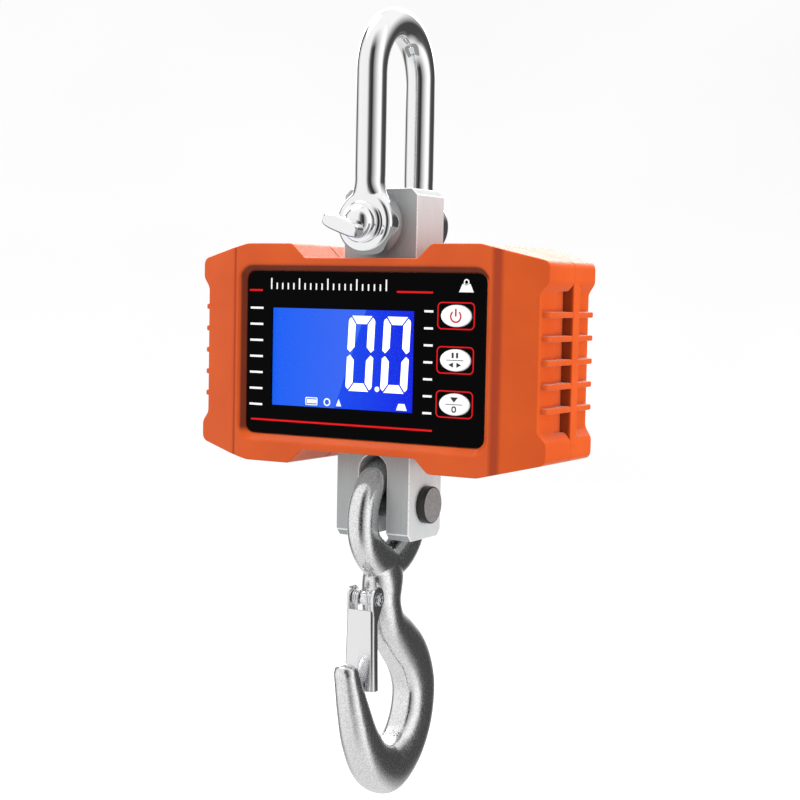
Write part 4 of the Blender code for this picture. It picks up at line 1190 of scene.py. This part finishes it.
def card_light(angle):
    """Brightness of the card ring at an angle from the camera's side, in degrees."""
    for (a, low), (b, high) in zip(CARDS, CARDS[1:]):
        if a <= angle <= b:
            return low + (high - low) * (angle - a) / (b - a)
    return CARDS[0][1]


def build_tent():
    """A sphere of white and dark cards round the object, seen only in reflections."""
    columns, rows, radius = 240, 60, 1.8
    mesh = bmesh.new()
    shade = mesh.verts.layers.float.new("shade")
    grid = []
    for j in range(rows + 1):
        up = math.pi * (j / rows - 0.5)
        rise = math.degrees(up)
        end = TENT_TOP if up > 0 else TENT_BASE
        row = []
        for i in range(columns):
            angle = 360 * i / columns - 180
            a = math.radians(angle) + CAMERA_YAW
            flat = radius * math.cos(up)
            vert = mesh.verts.new((flat * math.sin(a), -flat * math.cos(a), radius * math.sin(up) + CASE.z))
            start = (14 if angle > 80 else 40) if up > 0 else 25
            toward_end = ramp(abs(rise), start, start + 30)
            back = ramp(abs(angle), 140, 155) * ramp(rise, 10, 18) * ramp(rise, 50, 40)
            patch = ramp(angle, -158, -148) * ramp(angle, -92, -102) * ramp(rise, 44, 50) * ramp(rise, 74, 68)
            level = card_light(angle) * (1 - toward_end) + end * toward_end
            level += (TENT_BACK - level) * back
            vert[shade] = level + (TENT_PATCH - level) * patch
            row.append(vert)
        grid.append(row)
    for row, following in zip(grid, grid[1:]):
        for i in range(columns):
            k = (i + 1) % columns
            mesh.faces.new((row[i], row[k], following[k], following[i]))
    data = mesh_data("tent", mesh)
    tent = placed("tent", data)
    material = bpy.data.materials.new("tent_cards")
    material.use_nodes = True
    tree = material.node_tree
    tree.nodes.clear()
    shade_in = tree.nodes.new("ShaderNodeAttribute")
    shade_in.attribute_name = "shade"
    emission = tree.nodes.new("ShaderNodeEmission")
    emission.inputs["Strength"].default_value = 1.05
    output = tree.nodes.new("ShaderNodeOutputMaterial")
    tree.links.new(shade_in.outputs["Color"], emission.inputs["Color"])
    tree.links.new(emission.outputs[0], output.inputs["Surface"])
    data.materials.append(material)
    tent.visible_camera = False
    tent.visible_diffuse = False
    tent.visible_shadow = False
    tent.visible_transmission = False
    tent.visible_volume_scatter = False


def build_skin():
    """A grey skin over the case that only reflections see, so that metal near it stays neutral."""
    shells = []
    for node in ("front_shell", "rear_shell"):
        mesh = bmesh.new()
        mesh.from_mesh(frame["nodes"][node].data)
        bmesh.ops.remove_doubles(mesh, verts=mesh.verts, dist=0.002 * MM)
        mesh.normal_update()
        for vert in mesh.verts:
            vert.co += vert.normal * 0.03 * MM
        shells.append(mesh)
    data = mesh_data("skin", merged(shells))
    skin = placed("skin", data)
    material = bpy.data.materials.new("skin_grey")
    material.use_nodes = True
    tree = material.node_tree
    tree.nodes.clear()
    inside = tree.nodes.new("ShaderNodeNewGeometry")
    clear = tree.nodes.new("ShaderNodeBsdfTransparent")
    grey = tree.nodes.new("ShaderNodeEmission")
    grey.inputs["Strength"].default_value = 0.30
    mix = tree.nodes.new("ShaderNodeMixShader")
    output = tree.nodes.new("ShaderNodeOutputMaterial")
    tree.links.new(inside.outputs["Backfacing"], mix.inputs[0])
    tree.links.new(grey.outputs[0], mix.inputs[1])
    tree.links.new(clear.outputs[0], mix.inputs[2])
    tree.links.new(mix.outputs[0], output.inputs["Surface"])
    data.materials.append(material)
    skin.visible_camera = False
    skin.visible_diffuse = False
    skin.visible_shadow = False
    skin.visible_transmission = False
    skin.visible_volume_scatter = False
    skin.parent = frame["nodes"]["front_shell"]


def softbox(name, place, size, energy):
    data = bpy.data.lights.new(name, "AREA")
    data.shape = "SQUARE"
    data.size = size
    data.energy = energy
    lamp = placed(name, data)
    lamp.location = place
    lamp.rotation_euler = (CAMERA_TARGET - Vector(place)).to_track_quat("-Z", "Y").to_euler()
    lamp.visible_camera = False
    lamp.visible_glossy = False


def build_light():
    world = bpy.data.worlds.new("studio")
    bpy.context.scene.world = world
    world.use_nodes = True
    background = world.node_tree.nodes["Background"]
    background.inputs["Color"].default_value = (1.0, 1.0, 1.0, 1.0)
    background.inputs["Strength"].default_value = 0.85
    softbox("key", (-0.75, -1.0, 0.55), 0.7, 6.0)
    softbox("top", (0.0, 0.15, 0.95), 0.9, 14.0)
    softbox("side", (1.05, 0.2, -0.25), 0.7, 8.0)
    bpy.context.scene.view_settings.view_transform = "Standard"


# ---------------------------------------------------------------- all of it

dress_frame()
build_shackle()
build_shackle_pin()
build_case()
build_hook_pin()
build_hook()
build_latch()
build_latch_spring()
build_rivet()
build_lcd_marks()
build_panel_print()
build_buttons()
build_camera()
build_floor()
build_tent()
build_skin()
build_light()
